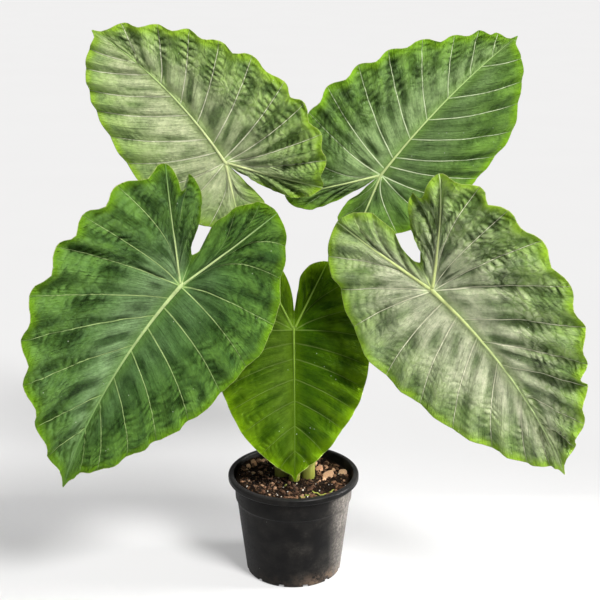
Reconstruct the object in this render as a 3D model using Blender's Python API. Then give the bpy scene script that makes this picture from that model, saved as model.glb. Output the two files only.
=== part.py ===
"""Giant taro with five leaves in a black nursery pot.

Metres, +Z up, origin at the centre of the pot's base. The plant is seen from -Y.
A blade is a thin sheet over its own plane: u runs from the stalk to the tip, v to the blade's own right.
"""

import math

import bmesh
import bpy
import numpy as np

# Clearance kept between pieces that touch, and the angle in degrees from which an edge is drawn sharp.
GAP = 0.0003
SHARP_ANGLE = 40

# Pot
POT_HEIGHT = 0.160
LIP_RADIUS = 0.100
LIP_DROP = 0.0105
LIP_WIDTH = 0.0085
LIP_ROUND = 0.0035
COLLAR_RADIUS = 0.0905
STEP_HEIGHT = 0.118
STEP_RADIUS = 0.0868
STEP_OUT = 0.0024
STEP_RISE = 0.0035
BASE_RADIUS = 0.073
FOOT_ROUND = 0.0032
FOOT_CORNER = 0.3 * FOOT_ROUND
WALL = 0.002
FLOOR = 0.0025
POT_SEGMENTS = 48
DRAIN_COUNT = 12
DRAIN_WIDTH = 0.009
DRAIN_HEIGHT = 0.0045
DRAIN_DEPTH = 0.014
DRAIN_IN = 0.3 * DRAIN_DEPTH

# Soil
SOIL_TOP = 0.150
SOIL_TILT = 0.045
SOIL_BUMP = 0.0012
SOIL_WAVE = 95.0
SOIL_SEGMENTS = 36
SOIL_RINGS = 9
BARK_LUMPS = 16
BARK_RADIUS = 0.008
BARK_HEIGHT = 0.0035
BARK_ZONE = (0.045, 0.078)
BARK_SIZES = (0.7, 1.3)
BARK_STEEPNESS = 1.5
HOLE_DEPTH = 0.025

# Stalks
STALK_SIDES = 12
STALK_RINGS = 13
STALK_TOP_RADIUS = 0.0045
STALK_WAIST_RADIUS = 0.0068
STALK_COLLAR = 0.012
SHEATH_SHARE = 0.12

# Blades: sheets with a fold along the midrib, whose width narrows by a share towards the tip, an arch
# from side to side, and a tip and lobes that droop; the last columns start at a share of the tip's reach.
BLADE_THICKNESS = 0.0014
MIDRIB_HALF_WIDTH = 0.004
MIDRIB_NARROWING = 0.8
LAST_ROOT = 0.9
BLADE_ROWS = (0.0, 0.35, 0.65, 0.86, 1.0)
VEIN_BOW = 0.07
FOLD = 0.20
FOLD_ROUND = 0.010
ARCH = 0.9
TIP_DROOP = 0.33
LOBE_DROOP = 0.30
DRIP_TIP = 0.009
DRIP_TIP_SPAN = 0.12
VEIN_STEPS = 4
SMALL_VEIN_STEPS = 2

# Waves of a blade's edge: full from this width of a bay on, weaker along the inner edge of a lobe,
# uneven by this share from bay to bay, and dying out towards the midrib by this power. Between two veins
# the edge is drawn in by a sine of this power.
WAVE_SPAN = 0.045
INNER_WAVE = 0.35
UNEVEN = 0.3
UNEVEN_TURN = 2.4
WAVE_POWER = 2.2
DRAWN_IN_POWER = 3

# How fast the edge still draws in at the bottom of the notch between the lobes: 0 makes it round.
SINUS_SLOPE = 0.0

# Each blade: where the stalk meets it, where its tip points, and the way its upper face looks.
# A side lists its veins from tip to lobe: root along the midrib in mm, bearing of the end in degrees
# from the line to the tip, and reach of the end from the stalk in mm. The last `inner` entries follow
# the inner edge of the lobe, past its main vein. `sinus` is the bearing, on the right, and the reach
# of the bottom of the notch; `tip` is the bearing and reach of the tip; `bow` bends the midrib, in mm.
# `wave` is how far each edge rises and falls, and `dip` how far it draws in between two veins.
# `lobe_bow` bends the main vein of each lobe, and `inner_bow` the columns inside it, away from the notch.
BLADES = {
    "left": {
        "stalk_end": (-0.153, -0.120, 0.495),
        "tip_at": (-0.318, -0.190, 0.226),
        "facing": (0.405, -0.914, -0.011),
        "tip": (-3, 334),
        "bow": 19,
        "sinus": (169, 46),
        "wave": {"right": 0.0075, "left": 0.0042},
        "dip": {"right": 0.0060, "left": 0.0028},
        "right": (
            (237, 5, 303), (182, 14, 277), (100, 28, 250), (50, 43, 226), (21, 59, 206),
            (0, 80, 183), (0, 97, 173), (0, 117, 169), (0, 141, 172),
            (0, 148, 134), (0, 153, 155), (0, 163.5, 112), (0, 162, 62),
        ),
        "left": (
            (237, 5, 306), (192, 9, 293), (152, 16, 262), (108, 24, 232), (70, 36, 204),
            (35, 52, 176), (0, 69, 163), (0, 95, 155), (0, 121, 147), (0, 137, 162),
            (0, 155, 169), (0, 165, 160), (0, 173, 134), (0, 181.5, 95), (0, 179, 64),
        ),
        "inner": {"right": 4, "left": 4},
        "lobe_bow": {"right": -0.03, "left": 0.0},
        "inner_bow": 0.13,
    },
    "right": {
        "stalk_end": (0.191, -0.120, 0.488),
        "tip_at": (0.374, -0.190, 0.245),
        "facing": (-0.416, -0.908, -0.052),
        "tip": (3, 322),
        "bow": -20,
        "sinus": (193, 43),
        "wave": {"right": 0.0046, "left": 0.0066},
        "dip": {"right": 0.0030, "left": 0.0036},
        "right": (
            (233, 5, 302), (184, 10, 284), (128, 18, 246), (85, 30, 209), (46, 44, 174),
            (20, 65, 152), (0, 98, 134), (0, 122, 137), (0, 140, 158), (0, 159, 164),
            (0, 168, 154), (0, 176, 135), (0, 182, 98), (0, 180, 60),
        ),
        "left": (
            (233, 4, 295), (186, 12, 275), (135, 23, 245), (93, 31, 229), (53, 44, 212),
            (0, 60, 191), (0, 82, 173), (0, 102, 163), (0, 119, 165), (0, 139, 166),
            (0, 148, 133), (0, 154, 139), (0, 161, 100), (0, 158, 63),
        ),
        "inner": {"right": 4, "left": 4},
        "lobe_bow": {"right": 0.0, "left": -0.09},
        "inner_bow": 0.13,
    },
    "back_left": {
        "stalk_end": (-0.102, 0.100, 0.620),
        "tip_at": (-0.297, 0.130, 0.813),
        "facing": (-0.190, -0.981, -0.039),
        "tip": (-2, 280),
        "bow": 16,
        "sinus": (175, 10),
        "wave": {"right": 0.0065, "left": 0.0040},
        "dip": {"right": 0.0050, "left": 0.0024},
        "right": (
            (193, 7, 256), (147, 19, 225), (106, 31, 202), (69, 44, 181), (31, 61, 167),
            (5, 82, 155), (0, 98, 154), (0, 117, 155), (0, 132, 154), (0, 148, 151),
            (0, 158, 127), (0, 164, 88), (0, 166, 44),
        ),
        "left": (
            (195, 7, 266), (169, 13, 254), (123, 19, 235), (86, 25, 213), (41, 34, 183),
            (18, 47, 154), (0, 66, 128), (0, 90, 112), (0, 119, 104), (0, 147, 101),
            (0, 177, 87), (0, 181, 61), (0, 182, 32),
        ),
        "inner": {"right": 3, "left": 3},
        "lobe_bow": {"right": 0.0, "left": 0.0},
        "inner_bow": 0.0,
    },
    "back_right": {
        "stalk_end": (0.134, 0.140, 0.592),
        "tip_at": (0.338, 0.170, 0.801),
        "facing": (0.156, -0.988, -0.010),
        "tip": (2, 297),
        "bow": -9,
        "sinus": (192, 9),
        "wave": {"right": 0.0040, "left": 0.0065},
        "dip": {"right": 0.0024, "left": 0.0046},
        "right": (
            (223, 8, 280), (153, 14, 261), (108, 20, 240), (69, 29, 217), (33, 38, 182),
            (17, 49, 153), (0, 65, 124), (0, 88, 106), (0, 119, 97), (0, 158, 99),
            (0, 180, 94), (0, 187, 65), (0, 188, 29),
        ),
        "left": (
            (245, 3, 279), (199, 9, 263), (152, 16, 237), (107, 28, 213), (69, 42, 190),
            (30, 57, 173), (10, 76, 162), (0, 93, 151), (0, 117, 145), (0, 145, 151),
            (0, 156, 132), (0, 161, 103), (0, 164, 53),
        ),
        "inner": {"right": 3, "left": 3},
        "lobe_bow": {"right": 0.0, "left": 0.0},
        "inner_bow": 0.0,
    },
    "front": {
        "stalk_end": (0.001, -0.030, 0.400),
        "tip_at": (0.004, -0.075, 0.178),
        "facing": (0.093, -0.975, 0.199),
        "tip": (0, 231),
        "bow": 0,
        "sinus": (182, 28),
        "wave": {"right": 0.0020, "left": 0.0020},
        "dip": {"right": 0.0012, "left": 0.0012},
        "right": (
            (181, 6, 211), (142, 15, 192), (104, 27, 171), (71, 39, 151), (41, 52, 136),
            (18, 66, 120), (0, 86, 107), (0, 110, 103), (0, 133, 110), (0, 154, 111),
            (0, 167, 98), (0, 173, 78), (0, 178, 53),
        ),
        "left": (
            (181, 6, 207), (142, 13, 192), (104, 25, 166), (71, 36, 151), (41, 49, 135),
            (18, 63, 122), (0, 83, 108), (0, 108, 102), (0, 131, 109), (0, 153, 111),
            (0, 165, 98), (0, 172, 79), (0, 174, 53),
        ),
        "inner": {"right": 3, "left": 3},
        "lobe_bow": {"right": 0.0, "left": 0.0},
        "inner_bow": 0.0,
    },
}

# Each stalk: its place in the soil, base radius, upright reach, and the way it arrives at its blade.
STALKS = {
    "left": {"foot": (-0.0185, 0.0070), "radius": 0.0105, "rise": (-0.012, 0.040, 0.24),
             "arrival": (-0.30, -0.90, 0.22), "knee": 0.11},
    "right": {"foot": (0.0220, 0.0070), "radius": 0.0110, "rise": (0.018, 0.040, 0.22),
              "arrival": (0.30, -0.90, 0.22), "knee": 0.11},
    "back_left": {"foot": (-0.0090, 0.0300), "radius": 0.0095, "rise": (-0.006, 0.015, 0.22),
                  "arrival": (-0.25, -0.60, 0.76), "knee": 0.09},
    "back_right": {"foot": (0.0135, 0.0310), "radius": 0.0095, "rise": (0.006, 0.019, 0.20),
                   "arrival": (0.25, -0.60, 0.76), "knee": 0.09},
    "front": {"foot": (0.0015, -0.0050), "radius": 0.0085, "rise": (0.0, 0.01, 0.10),
              "arrival": (0.0, -0.75, 0.60), "knee": 0.06},
}

COLOURS = {
    "pot": ((0.022, 0.022, 0.023), 0.55),
    "soil": ((0.070, 0.040, 0.022), 0.95),
    "stalk": ((0.22, 0.34, 0.09), 0.45),
    "blade": ((0.075, 0.190, 0.035), 0.38),
}


def clear_scene():
    for obj in list(bpy.data.objects):
        bpy.data.objects.remove(obj, do_unlink=True)


def material(kind):
    """A plain material of the kind's own colour and roughness."""
    found = bpy.data.materials.get(kind)
    if found:
        return found
    colour, roughness = COLOURS[kind]
    made = bpy.data.materials.new(kind)
    made.use_nodes = True
    shader = made.node_tree.nodes["Principled BSDF"]
    shader.inputs["Base Color"].default_value = (*colour, 1.0)
    shader.inputs["Roughness"].default_value = roughness
    shader.inputs["Metallic"].default_value = 0.0
    return made


def add_object(name, mesh, kind):
    mesh.materials.append(material(kind))
    obj = bpy.data.objects.new(name, mesh)
    bpy.context.scene.collection.objects.link(obj)
    return obj


def smoothed(mesh):
    mesh.shade_smooth()
    mesh.set_sharp_from_angle(angle=math.radians(SHARP_ANGLE))
    return mesh


def mesh_from(name, points, faces):
    """A smooth-shaded mesh whose faces all point outwards."""
    mesh = bpy.data.meshes.new(name)
    mesh.from_pydata([tuple(p) for p in points], [], faces)
    work = bmesh.new()
    work.from_mesh(mesh)
    bmesh.ops.recalc_face_normals(work, faces=work.faces)
    work.to_mesh(mesh)
    work.free()
    return smoothed(mesh)


# Pot

def arc(centre, radius, first, last, steps):
    """Points of an arc in the section, its angles in degrees from outwards to up."""
    angles = [math.radians(first + (last - first) * k / steps) for k in range(steps + 1)]
    return [(centre[0] + radius * math.cos(a), centre[1] + radius * math.sin(a)) for a in angles]


def pot_profile():
    """The pot's section from the axis under the floor, out, up, over the rolled lip and back down inside."""
    low = POT_HEIGHT - LIP_DROP
    middle = LIP_RADIUS - LIP_ROUND
    inner_round = LIP_ROUND / 2
    outside = [
        (0.0, 0.0),
        (BASE_RADIUS - FOOT_ROUND, 0.0),
        (BASE_RADIUS - FOOT_CORNER, FOOT_CORNER),
        (BASE_RADIUS, FOOT_ROUND),
        (STEP_RADIUS, STEP_HEIGHT),
        (STEP_RADIUS + STEP_OUT, STEP_HEIGHT + STEP_RISE),
        (COLLAR_RADIUS, low),
    ]
    lip = arc((middle, low + LIP_ROUND), LIP_ROUND, -90, 0, 3)
    lip += arc((middle, POT_HEIGHT - LIP_ROUND), LIP_ROUND, 0, 90, 3)
    lip += arc((LIP_RADIUS - LIP_WIDTH + inner_round, POT_HEIGHT - inner_round), inner_round, 90, 180, 2)
    inside = [
        (COLLAR_RADIUS - 0.75 * WALL, low),
        (STEP_RADIUS + STEP_OUT - WALL, STEP_HEIGHT + STEP_RISE),
        (STEP_RADIUS - WALL, STEP_HEIGHT),
        (BASE_RADIUS - WALL, FLOOR + FOOT_ROUND),
        (BASE_RADIUS - WALL - FOOT_CORNER, FLOOR),
        (0.0, FLOOR),
    ]
    return outside + lip + inside


def spun(profile, segments):
    """The closed mesh that the profile sweeps round the Z axis."""
    work = bmesh.new()
    ends = [work.verts.new((radius, 0.0, height)) for radius, height in profile]
    edges = [work.edges.new(pair) for pair in zip(ends, ends[1:])]
    bmesh.ops.spin(work, geom=ends + edges, cent=(0, 0, 0), axis=(0, 0, 1), angle=math.tau, steps=segments)
    bmesh.ops.remove_doubles(work, verts=work.verts, dist=0.00001)
    bmesh.ops.recalc_face_normals(work, faces=work.faces)
    return work


def make_pot():
    work = spun(pot_profile(), POT_SEGMENTS)
    mesh = bpy.data.meshes.new("pot")
    work.to_mesh(mesh)
    work.free()
    pot = add_object("pot", smoothed(mesh), "pot")
    cut(pot, drain_cutters())
    return pot


def drain_cutters():
    """One block for each drainage slot, through the corner of wall and floor."""
    work = bmesh.new()
    middle = BASE_RADIUS - DRAIN_IN
    for index in range(DRAIN_COUNT):
        angle = math.tau * (index + 0.5) / DRAIN_COUNT
        made = bmesh.ops.create_cube(work, size=1.0)["verts"]
        bmesh.ops.scale(work, verts=made, vec=(DRAIN_DEPTH, DRAIN_WIDTH, 2 * DRAIN_HEIGHT))
        bmesh.ops.translate(work, verts=made, vec=(middle, 0, 0))
        turn = ((math.cos(angle), -math.sin(angle), 0), (math.sin(angle), math.cos(angle), 0), (0, 0, 1))
        for vertex in made:
            vertex.co = [sum(a * b for a, b in zip(row, vertex.co)) for row in turn]
    mesh = bpy.data.meshes.new("drain_cutters")
    work.to_mesh(mesh)
    work.free()
    return guide("drain_cutters", mesh)


def guide(name, mesh):
    """An object that only cuts, and never shows."""
    obj = bpy.data.objects.new(name, mesh)
    bpy.context.scene.collection.objects.link(obj)
    obj.hide_render = True
    obj.display_type = "WIRE"
    return obj


def cut(obj, cutter):
    modifier = obj.modifiers.new("cut", "BOOLEAN")
    modifier.operation = "DIFFERENCE"
    modifier.object = cutter
    modifier.solver = "EXACT"


# Soil

def bark_lumps():
    """Centre, radius and height of each lump of bark that stands out of the soil."""
    draw = np.random.default_rng(7)
    lumps = []
    for _ in range(BARK_LUMPS):
        angle = draw.uniform(0, math.tau)
        far = draw.uniform(*BARK_ZONE)
        size = draw.uniform(*BARK_SIZES)
        lumps.append((far * math.cos(angle), far * math.sin(angle), BARK_RADIUS * size, BARK_HEIGHT * size))
    return lumps


def soil_height(x, y, lumps):
    """The soil's surface: higher on the left, softly uneven, with the bark lumps on it."""
    height = SOIL_TOP - SOIL_TILT * x
    swell = math.sin(SOIL_WAVE * x + 1.0) * math.cos(1.3 * SOIL_WAVE * y)
    height += SOIL_BUMP * (swell + math.sin(0.7 * SOIL_WAVE * (y - x)))
    for lump_x, lump_y, radius, rise in lumps:
        away = math.hypot(x - lump_x, y - lump_y) / radius
        height += rise * math.exp(-BARK_STEEPNESS * away * away)
    return height


def make_soil():
    lumps = bark_lumps()
    side = (
        (BASE_RADIUS - WALL - FOOT_CORNER - 2 * GAP, FLOOR + GAP),
        (BASE_RADIUS - WALL - 2 * GAP, FLOOR + FOOT_ROUND),
        (STEP_RADIUS - WALL - 2 * GAP, STEP_HEIGHT + GAP),
        (STEP_RADIUS + STEP_OUT - WALL - 2 * GAP, STEP_HEIGHT + STEP_RISE + GAP),
    )
    edge = COLLAR_RADIUS - WALL - 2 * GAP
    angles = [math.tau * k / SOIL_SEGMENTS for k in range(SOIL_SEGMENTS)]
    points = [(0.0, 0.0, FLOOR + GAP)]
    for radius, height in side:
        points += [(radius * math.cos(a), radius * math.sin(a), height) for a in angles]
    for ring in range(SOIL_RINGS, 0, -1):
        radius = edge * ring / SOIL_RINGS
        for a in angles:
            x, y = radius * math.cos(a), radius * math.sin(a)
            points.append((x, y, soil_height(x, y, lumps)))
    points.append((0.0, 0.0, soil_height(0.0, 0.0, lumps)))
    last = len(points) - 1
    rings = len(side) + SOIL_RINGS
    faces = []
    for k in range(SOIL_SEGMENTS):
        after = (k + 1) % SOIL_SEGMENTS
        faces.append((0, 1 + after, 1 + k))
        for ring in range(rings - 1):
            low, high = 1 + ring * SOIL_SEGMENTS, 1 + (ring + 1) * SOIL_SEGMENTS
            faces.append((low + k, low + after, high + after))
            faces.append((low + k, high + after, high + k))
        top = 1 + (rings - 1) * SOIL_SEGMENTS
        faces.append((top + k, top + after, last))
    soil = add_object("soil", mesh_from("soil", points, faces), "soil")
    cut(soil, hole_cutters())
    return soil


def hole_cutters():
    """A prism for each stalk's hole, a gap wider and deeper than the stalk."""
    work = bmesh.new()
    low = SOIL_TOP - HOLE_DEPTH - GAP
    high = SOIL_TOP + 2 * STALK_COLLAR
    for stalk in STALKS.values():
        radius = stalk["radius"] + GAP / math.cos(math.pi / STALK_SIDES)
        rings = []
        for height in (low, high):
            ring = []
            for k in range(STALK_SIDES):
                angle = math.tau * k / STALK_SIDES
                x = stalk["foot"][0] + radius * math.cos(angle)
                y = stalk["foot"][1] + radius * math.sin(angle)
                ring.append(work.verts.new((x, y, height)))
            rings.append(ring)
        work.faces.new(rings[0][::-1])
        work.faces.new(rings[1])
        for k in range(STALK_SIDES):
            after = (k + 1) % STALK_SIDES
            work.faces.new((rings[0][k], rings[0][after], rings[1][after], rings[1][k]))
    bmesh.ops.recalc_face_normals(work, faces=work.faces)
    mesh = bpy.data.meshes.new("hole_cutters")
    work.to_mesh(mesh)
    work.free()
    return guide("hole_cutters", mesh)


# Blades

def unit(vector):
    return np.asarray(vector, float) / np.linalg.norm(vector)


def blade_axes(blade):
    """Origin of the blade's plane, then its directions to the tip, to its right and out of its upper face."""
    origin = np.array(blade["stalk_end"])
    along = unit(np.array(blade["tip_at"]) - origin)
    facing = np.array(blade["facing"])
    facing = unit(facing - (facing @ along) * along)
    return origin, along, np.cross(along, facing), facing


def midrib_side(blade, u):
    """How far the midrib runs to the right of the straight line, at u."""
    bearing, reach = blade["tip"]
    length = reach / 1000 * math.cos(math.radians(bearing))
    aside = reach / 1000 * math.sin(math.radians(bearing))
    part = min(max(u / length, 0.0), 1.0)
    return blade["bow"] / 1000 * 4 * part * (1 - part) + aside * part * part


def blade_bend(u, v):
    """Height of the smooth blade over its plane: folded at the midrib, arched, tip and lobes drooping."""
    fold = FOLD * (math.hypot(v, FOLD_ROUND) - FOLD_ROUND)
    droop = TIP_DROOP if u > 0 else LOBE_DROOP
    return fold - ARCH * v * v - droop * u * u


def side_columns(blade, side):
    """Root, bearing, reach and vein bow of each column: the tip, each vein, then the sinus."""
    sign = 1 if side == "right" else -1
    tip_bearing, tip_reach = blade["tip"]
    sinus_bearing, sinus_reach = blade["sinus"]
    sinus_bearing = sinus_bearing if side == "right" else 360 - sinus_bearing
    veins = blade[side]
    inner = blade["inner"][side]
    lobe = len(veins) - inner
    bows = [VEIN_BOW] * (lobe - 1) + [blade["lobe_bow"][side]]
    bows += [-blade["inner_bow"] * (k + 1) / inner for k in range(inner - 1)] + [0.0]
    rows = [(LAST_ROOT * tip_reach, sign * tip_bearing, tip_reach - 1000 * DRIP_TIP, 0.0)]
    rows += [(*vein, bow) for vein, bow in zip(veins, bows)]
    rows.append((0, sinus_bearing, sinus_reach, 0.0))
    return np.array(rows, float), lobe


def edge_strength(blade, side, table, lobe, column):
    """How strongly the edge waves at a column, by the width of the bays there."""
    sign = 1 if side == "right" else -1
    last = len(table) - 1
    bay = np.arange(last)
    reach = (table[1:, 2] + table[:-1, 2]) / 2000
    span = np.abs(np.diff(table[:, 1])) * math.radians(1) * reach + np.abs(np.diff(table[:, 2])) / 1000
    strength = np.minimum(span / WAVE_SPAN, 1.0) * np.where(bay < lobe, 1.0, INNER_WAVE)
    strength *= 1 + UNEVEN * np.sin(UNEVEN_TURN * bay + blade["tip"][1] + sign)
    return float(np.interp(column, bay + 0.5, strength)) * min(column, last - column, 1.0)


def smooth_between(values, bay, part, last_slope=1.0):
    """A value between two veins, on a curve that runs smoothly through the value at each vein."""
    slope = np.gradient(values)
    slope[0] = values[1] - values[0]
    slope[-1] = last_slope * (values[-1] - values[-2])
    start, end = values[bay], values[bay + 1]
    curve = (2 * part ** 3 - 3 * part ** 2 + 1) * start + (3 * part ** 2 - 2 * part ** 3) * end
    return curve + (part ** 3 - 2 * part ** 2 + part) * slope[bay] + (part ** 3 - part ** 2) * slope[bay + 1]


def column_points(blade, side, column, rows):
    """The sheet's points down one column, from the midrib to the edge, as (u, v, height)."""
    table, lobe = side_columns(blade, side)
    sign = 1 if side == "right" else -1
    bay = min(int(column), len(table) - 2)
    part = column - bay
    root = (table[bay, 0] * (1 - part) + table[bay + 1, 0] * part) / 1000
    bow = table[bay, 3] * (1 - part) + table[bay + 1, 3] * part
    angle = math.radians(smooth_between(table[:, 1], bay, part))
    strength = edge_strength(blade, side, table, lobe, column)
    drawn_in = abs(math.sin(math.pi * part)) ** DRAWN_IN_POWER
    reach = smooth_between(table[:, 2], bay, part, SINUS_SLOPE) / 1000
    reach -= blade["dip"][side] * strength * drawn_in
    reach += DRIP_TIP * math.exp(-((column / DRIP_TIP_SPAN) ** 2))
    width = MIDRIB_HALF_WIDTH * (1 - MIDRIB_NARROWING * root / (blade["tip"][1] / 1000))
    root_side = midrib_side(blade, root) + sign * width * math.sin(angle)
    start = np.array([root + width * math.cos(angle), root_side])
    end = np.array([reach * math.cos(angle), sign * reach * math.sin(angle)])
    back = np.array([-(end - start)[1], (end - start)[0]]) * sign
    control = (start + end) / 2 + bow * back
    wave = -blade["wave"][side] * strength * (1 - 2 * drawn_in)
    points = []
    for row in rows:
        u, v = (1 - row) ** 2 * start + 2 * row * (1 - row) * control + row * row * end
        points.append((u, v, blade_bend(u, v) + wave * row ** WAVE_POWER))
    return points


def side_steps(blade, side, steps, inner_steps):
    """The columns at which a side is drawn, with fewer steps in the bays of the inner edge."""
    _, lobe = side_columns(blade, side)
    last = len(blade[side]) + 1
    outer = [k / steps for k in range(lobe * steps)]
    return outer + [lobe + k / inner_steps for k in range((last - lobe) * inner_steps + 1)]


def blade_sheet(blade, rows, steps, inner_steps):
    """Points (u, v, height) and triangles of the sheet, both sides joined along the midrib."""
    points, index, triangles, roots, edges = [], {}, [], {}, {}

    def place(point):
        key = tuple(round(value, 6) for value in point)
        if key not in index:
            index[key] = len(points)
            points.append(point)
        return index[key]

    for side in ("right", "left"):
        columns = side_steps(blade, side, steps, inner_steps)
        grid = [[place(p) for p in column_points(blade, side, c, rows)] for c in columns]
        for one, two in zip(grid, grid[1:]):
            for low, high in zip(range(len(rows) - 1), range(1, len(rows))):
                triangles.append((one[low], two[low], two[high]))
                triangles.append((one[low], two[high], one[high]))
        roots[side] = [column[0] for column in grid]
        edges[side] = [column[-1] for column in grid]
    triangles += zipped(roots["right"], roots["left"], points)
    outline = edges["right"] + edges["left"][-2:0:-1]
    triangles = [t for t in triangles if len(set(t)) == 3]
    return points, triangles, outline


def zipped(one, two, points):
    """Triangles that fill the strip between two lines of points, both running towards lower u."""
    triangles = []
    i = j = 0
    while i < len(one) - 1 or j < len(two) - 1:
        step_one = j == len(two) - 1 or (i < len(one) - 1 and points[one[i + 1]][0] > points[two[j + 1]][0])
        if step_one:
            triangles.append((one[i], one[i + 1], two[j]))
            i += 1
        else:
            triangles.append((one[i], two[j + 1], two[j]))
            j += 1
    return triangles


def make_blade(name, blade):
    """A closed sheet: the same triangles on both faces, one thickness apart, and a rim between them."""
    steps = SMALL_VEIN_STEPS if name == "front" else VEIN_STEPS
    sheet, triangles, outline = blade_sheet(blade, BLADE_ROWS, steps, SMALL_VEIN_STEPS)
    origin, along, right, facing = blade_axes(blade)
    faces_apart = (BLADE_THICKNESS / 2, -BLADE_THICKNESS / 2)
    points = []
    for lift in faces_apart:
        points += [origin + u * along + v * right + (height + lift) * facing for u, v, height in sheet]
    count = len(sheet)
    faces = list(triangles)
    faces += [(c + count, b + count, a + count) for a, b, c in triangles]
    for a, b in zip(outline, outline[1:] + outline[:1]):
        faces.append((a, b, b + count))
        faces.append((a, b + count, a + count))
    return add_object(f"blade_{name}", mesh_from(f"blade_{name}", points, faces), "blade")


# Stalks

def stalk_line(name):
    """Control points of the stalk's curve, from the soil to the blade, and the way the blade faces."""
    stalk = STALKS[name]
    origin, _, _, facing = blade_axes(BLADES[name])
    start = np.array([*stalk["foot"], SOIL_TOP + STALK_COLLAR])
    end = origin - (BLADE_THICKNESS / 2 + GAP) * facing
    arrival = unit(stalk["arrival"])
    return start, start + np.array(stalk["rise"]), end - stalk["knee"] * arrival, end, facing


def stalk_radius(stalk, part):
    """The stalk swells into a sheath at its foot and thins to the top."""
    above = STALK_WAIST_RADIUS + (STALK_TOP_RADIUS - STALK_WAIST_RADIUS) * part
    return above + (stalk["radius"] - STALK_WAIST_RADIUS) * math.exp(-((part / SHEATH_SHARE) ** 2))


def make_stalk(name):
    stalk = STALKS[name]
    start, rise, knee, end, facing = stalk_line(name)
    points = []

    def ring(centre, heading, radius, flat=None):
        across = unit(np.array([1.0, 0.0, 0.0]) - heading[0] * heading)
        other = np.cross(heading, across)
        for k in range(STALK_SIDES):
            angle = math.tau * k / STALK_SIDES
            point = centre + radius * (math.cos(angle) * across + math.sin(angle) * other)
            if flat is not None:
                point = point + heading * ((centre - point) @ flat) / (heading @ flat)
            points.append(point)

    upright = np.array([0.0, 0.0, 1.0])
    ring(np.array([*stalk["foot"], SOIL_TOP - HOLE_DEPTH]), upright, stalk["radius"])
    for k in range(STALK_RINGS):
        t = k / (STALK_RINGS - 1)
        near, far = (1 - t) ** 3 * start + t ** 3 * end, 3 * t * (1 - t)
        centre = near + far * ((1 - t) * rise + t * knee)
        slope = (1 - t) ** 2 * (rise - start) + 2 * t * (1 - t) * (knee - rise) + t * t * (end - knee)
        heading = upright if k == 0 else unit(slope)
        ring(centre, heading, stalk_radius(stalk, t), facing if k == STALK_RINGS - 1 else None)
    faces = [tuple(range(STALK_SIDES))[::-1]]
    for level in range(STALK_RINGS):
        low, high = level * STALK_SIDES, (level + 1) * STALK_SIDES
        for k in range(STALK_SIDES):
            after = (k + 1) % STALK_SIDES
            faces.append((low + k, low + after, high + after, high + k))
    faces.append(tuple(STALK_RINGS * STALK_SIDES + k for k in range(STALK_SIDES)))
    return add_object(f"stalk_{name}", mesh_from(f"stalk_{name}", points, faces), "stalk")


clear_scene()
make_pot()
make_soil()
for leaf, shape in BLADES.items():
    make_blade(leaf, shape)
    make_stalk(leaf)
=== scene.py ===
"""Giant taro with five leaves in a black nursery pot.

Fine meshes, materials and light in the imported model's frame: metres, +Z up, the plant seen from -Y.
"""

import math
from types import SimpleNamespace

import bmesh
import bpy
import numpy as np
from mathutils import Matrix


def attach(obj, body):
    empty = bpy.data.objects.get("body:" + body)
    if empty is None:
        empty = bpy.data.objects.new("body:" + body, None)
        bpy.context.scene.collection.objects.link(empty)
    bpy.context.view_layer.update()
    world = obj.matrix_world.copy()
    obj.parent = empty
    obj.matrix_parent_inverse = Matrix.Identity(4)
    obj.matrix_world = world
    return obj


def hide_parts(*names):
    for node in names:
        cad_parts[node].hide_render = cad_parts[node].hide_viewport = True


# Clearance kept between pieces that touch
GAP = 0.0003

# Camera, as it stood for the photograph: its place, degrees below level, lens and sensor in mm
CAMERA_PLACE = (0.010, -1.817, 1.023)
CAMERA_DOWN = 17.9
LENS = 78
SENSOR = 36

# Stage: a white sheet that ends at the line behind the plant, on a slightly greyer floor
SHEET_BACK_EDGE = 0.241
STAGE_REACH = 18.0
SHEET_COLOUR = (0.45, 0.45, 0.455)
SHEET_GLOW = 0.325
FLOOR_COLOUR = (0.36, 0.36, 0.365)
FLOOR_GLOW = 0.415

# Light: a pale room, a broad key from the right, and a low soft disk at the right for the pot's edge
LIGHT_COLOUR = (1.0, 0.99, 0.97)
ROOM_LIGHT = 0.25
KEY_FROM = (0.42, -0.55, 0.72)
KEY_LIGHT = 4.6
KEY_SPREAD = 18.0
EDGE_PLACE = (1.45, 0.02, 0.52)
EDGE_TARGET = (0.0, 0.0, 0.09)
EDGE_LIGHT = 1.6
EDGE_SIZE = 0.6
EDGE_SPREAD = 26

# Pot
POT_HEIGHT = 0.160
LIP_RADIUS = 0.100
LIP_DROP = 0.0105
LIP_WIDTH = 0.0085
LIP_ROUND = 0.0035
COLLAR_RADIUS = 0.0905
STEP_HEIGHT = 0.118
STEP_RADIUS = 0.0868
STEP_OUT = 0.0024
STEP_RISE = 0.0035
BASE_RADIUS = 0.073
FOOT_ROUND = 0.0032
FOOT_CORNER = 0.3 * FOOT_ROUND
WALL = 0.002
FLOOR = 0.0025
POT_SEGMENTS = 180
DRAIN_COUNT = 12
DRAIN_WIDTH = 0.009
DRAIN_HEIGHT = 0.0045
DRAIN_DEPTH = 0.014
DRAIN_IN = 0.3 * DRAIN_DEPTH
POT_SHARP_ANGLE = 50

# Soil
SOIL_TOP = 0.150
SOIL_TILT = 0.045
SOIL_BUMP = 0.0012
SOIL_WAVE = 95.0
SOIL_SEGMENTS = 260
SOIL_RINGS = 90
BARK_LUMPS = 16
BARK_RADIUS = 0.008
BARK_HEIGHT = 0.0035
BARK_ZONE = (0.045, 0.078)
BARK_SIZES = (0.7, 1.3)
BARK_STEEPNESS = 1.5
HOLE_DEPTH = 0.025

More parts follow.
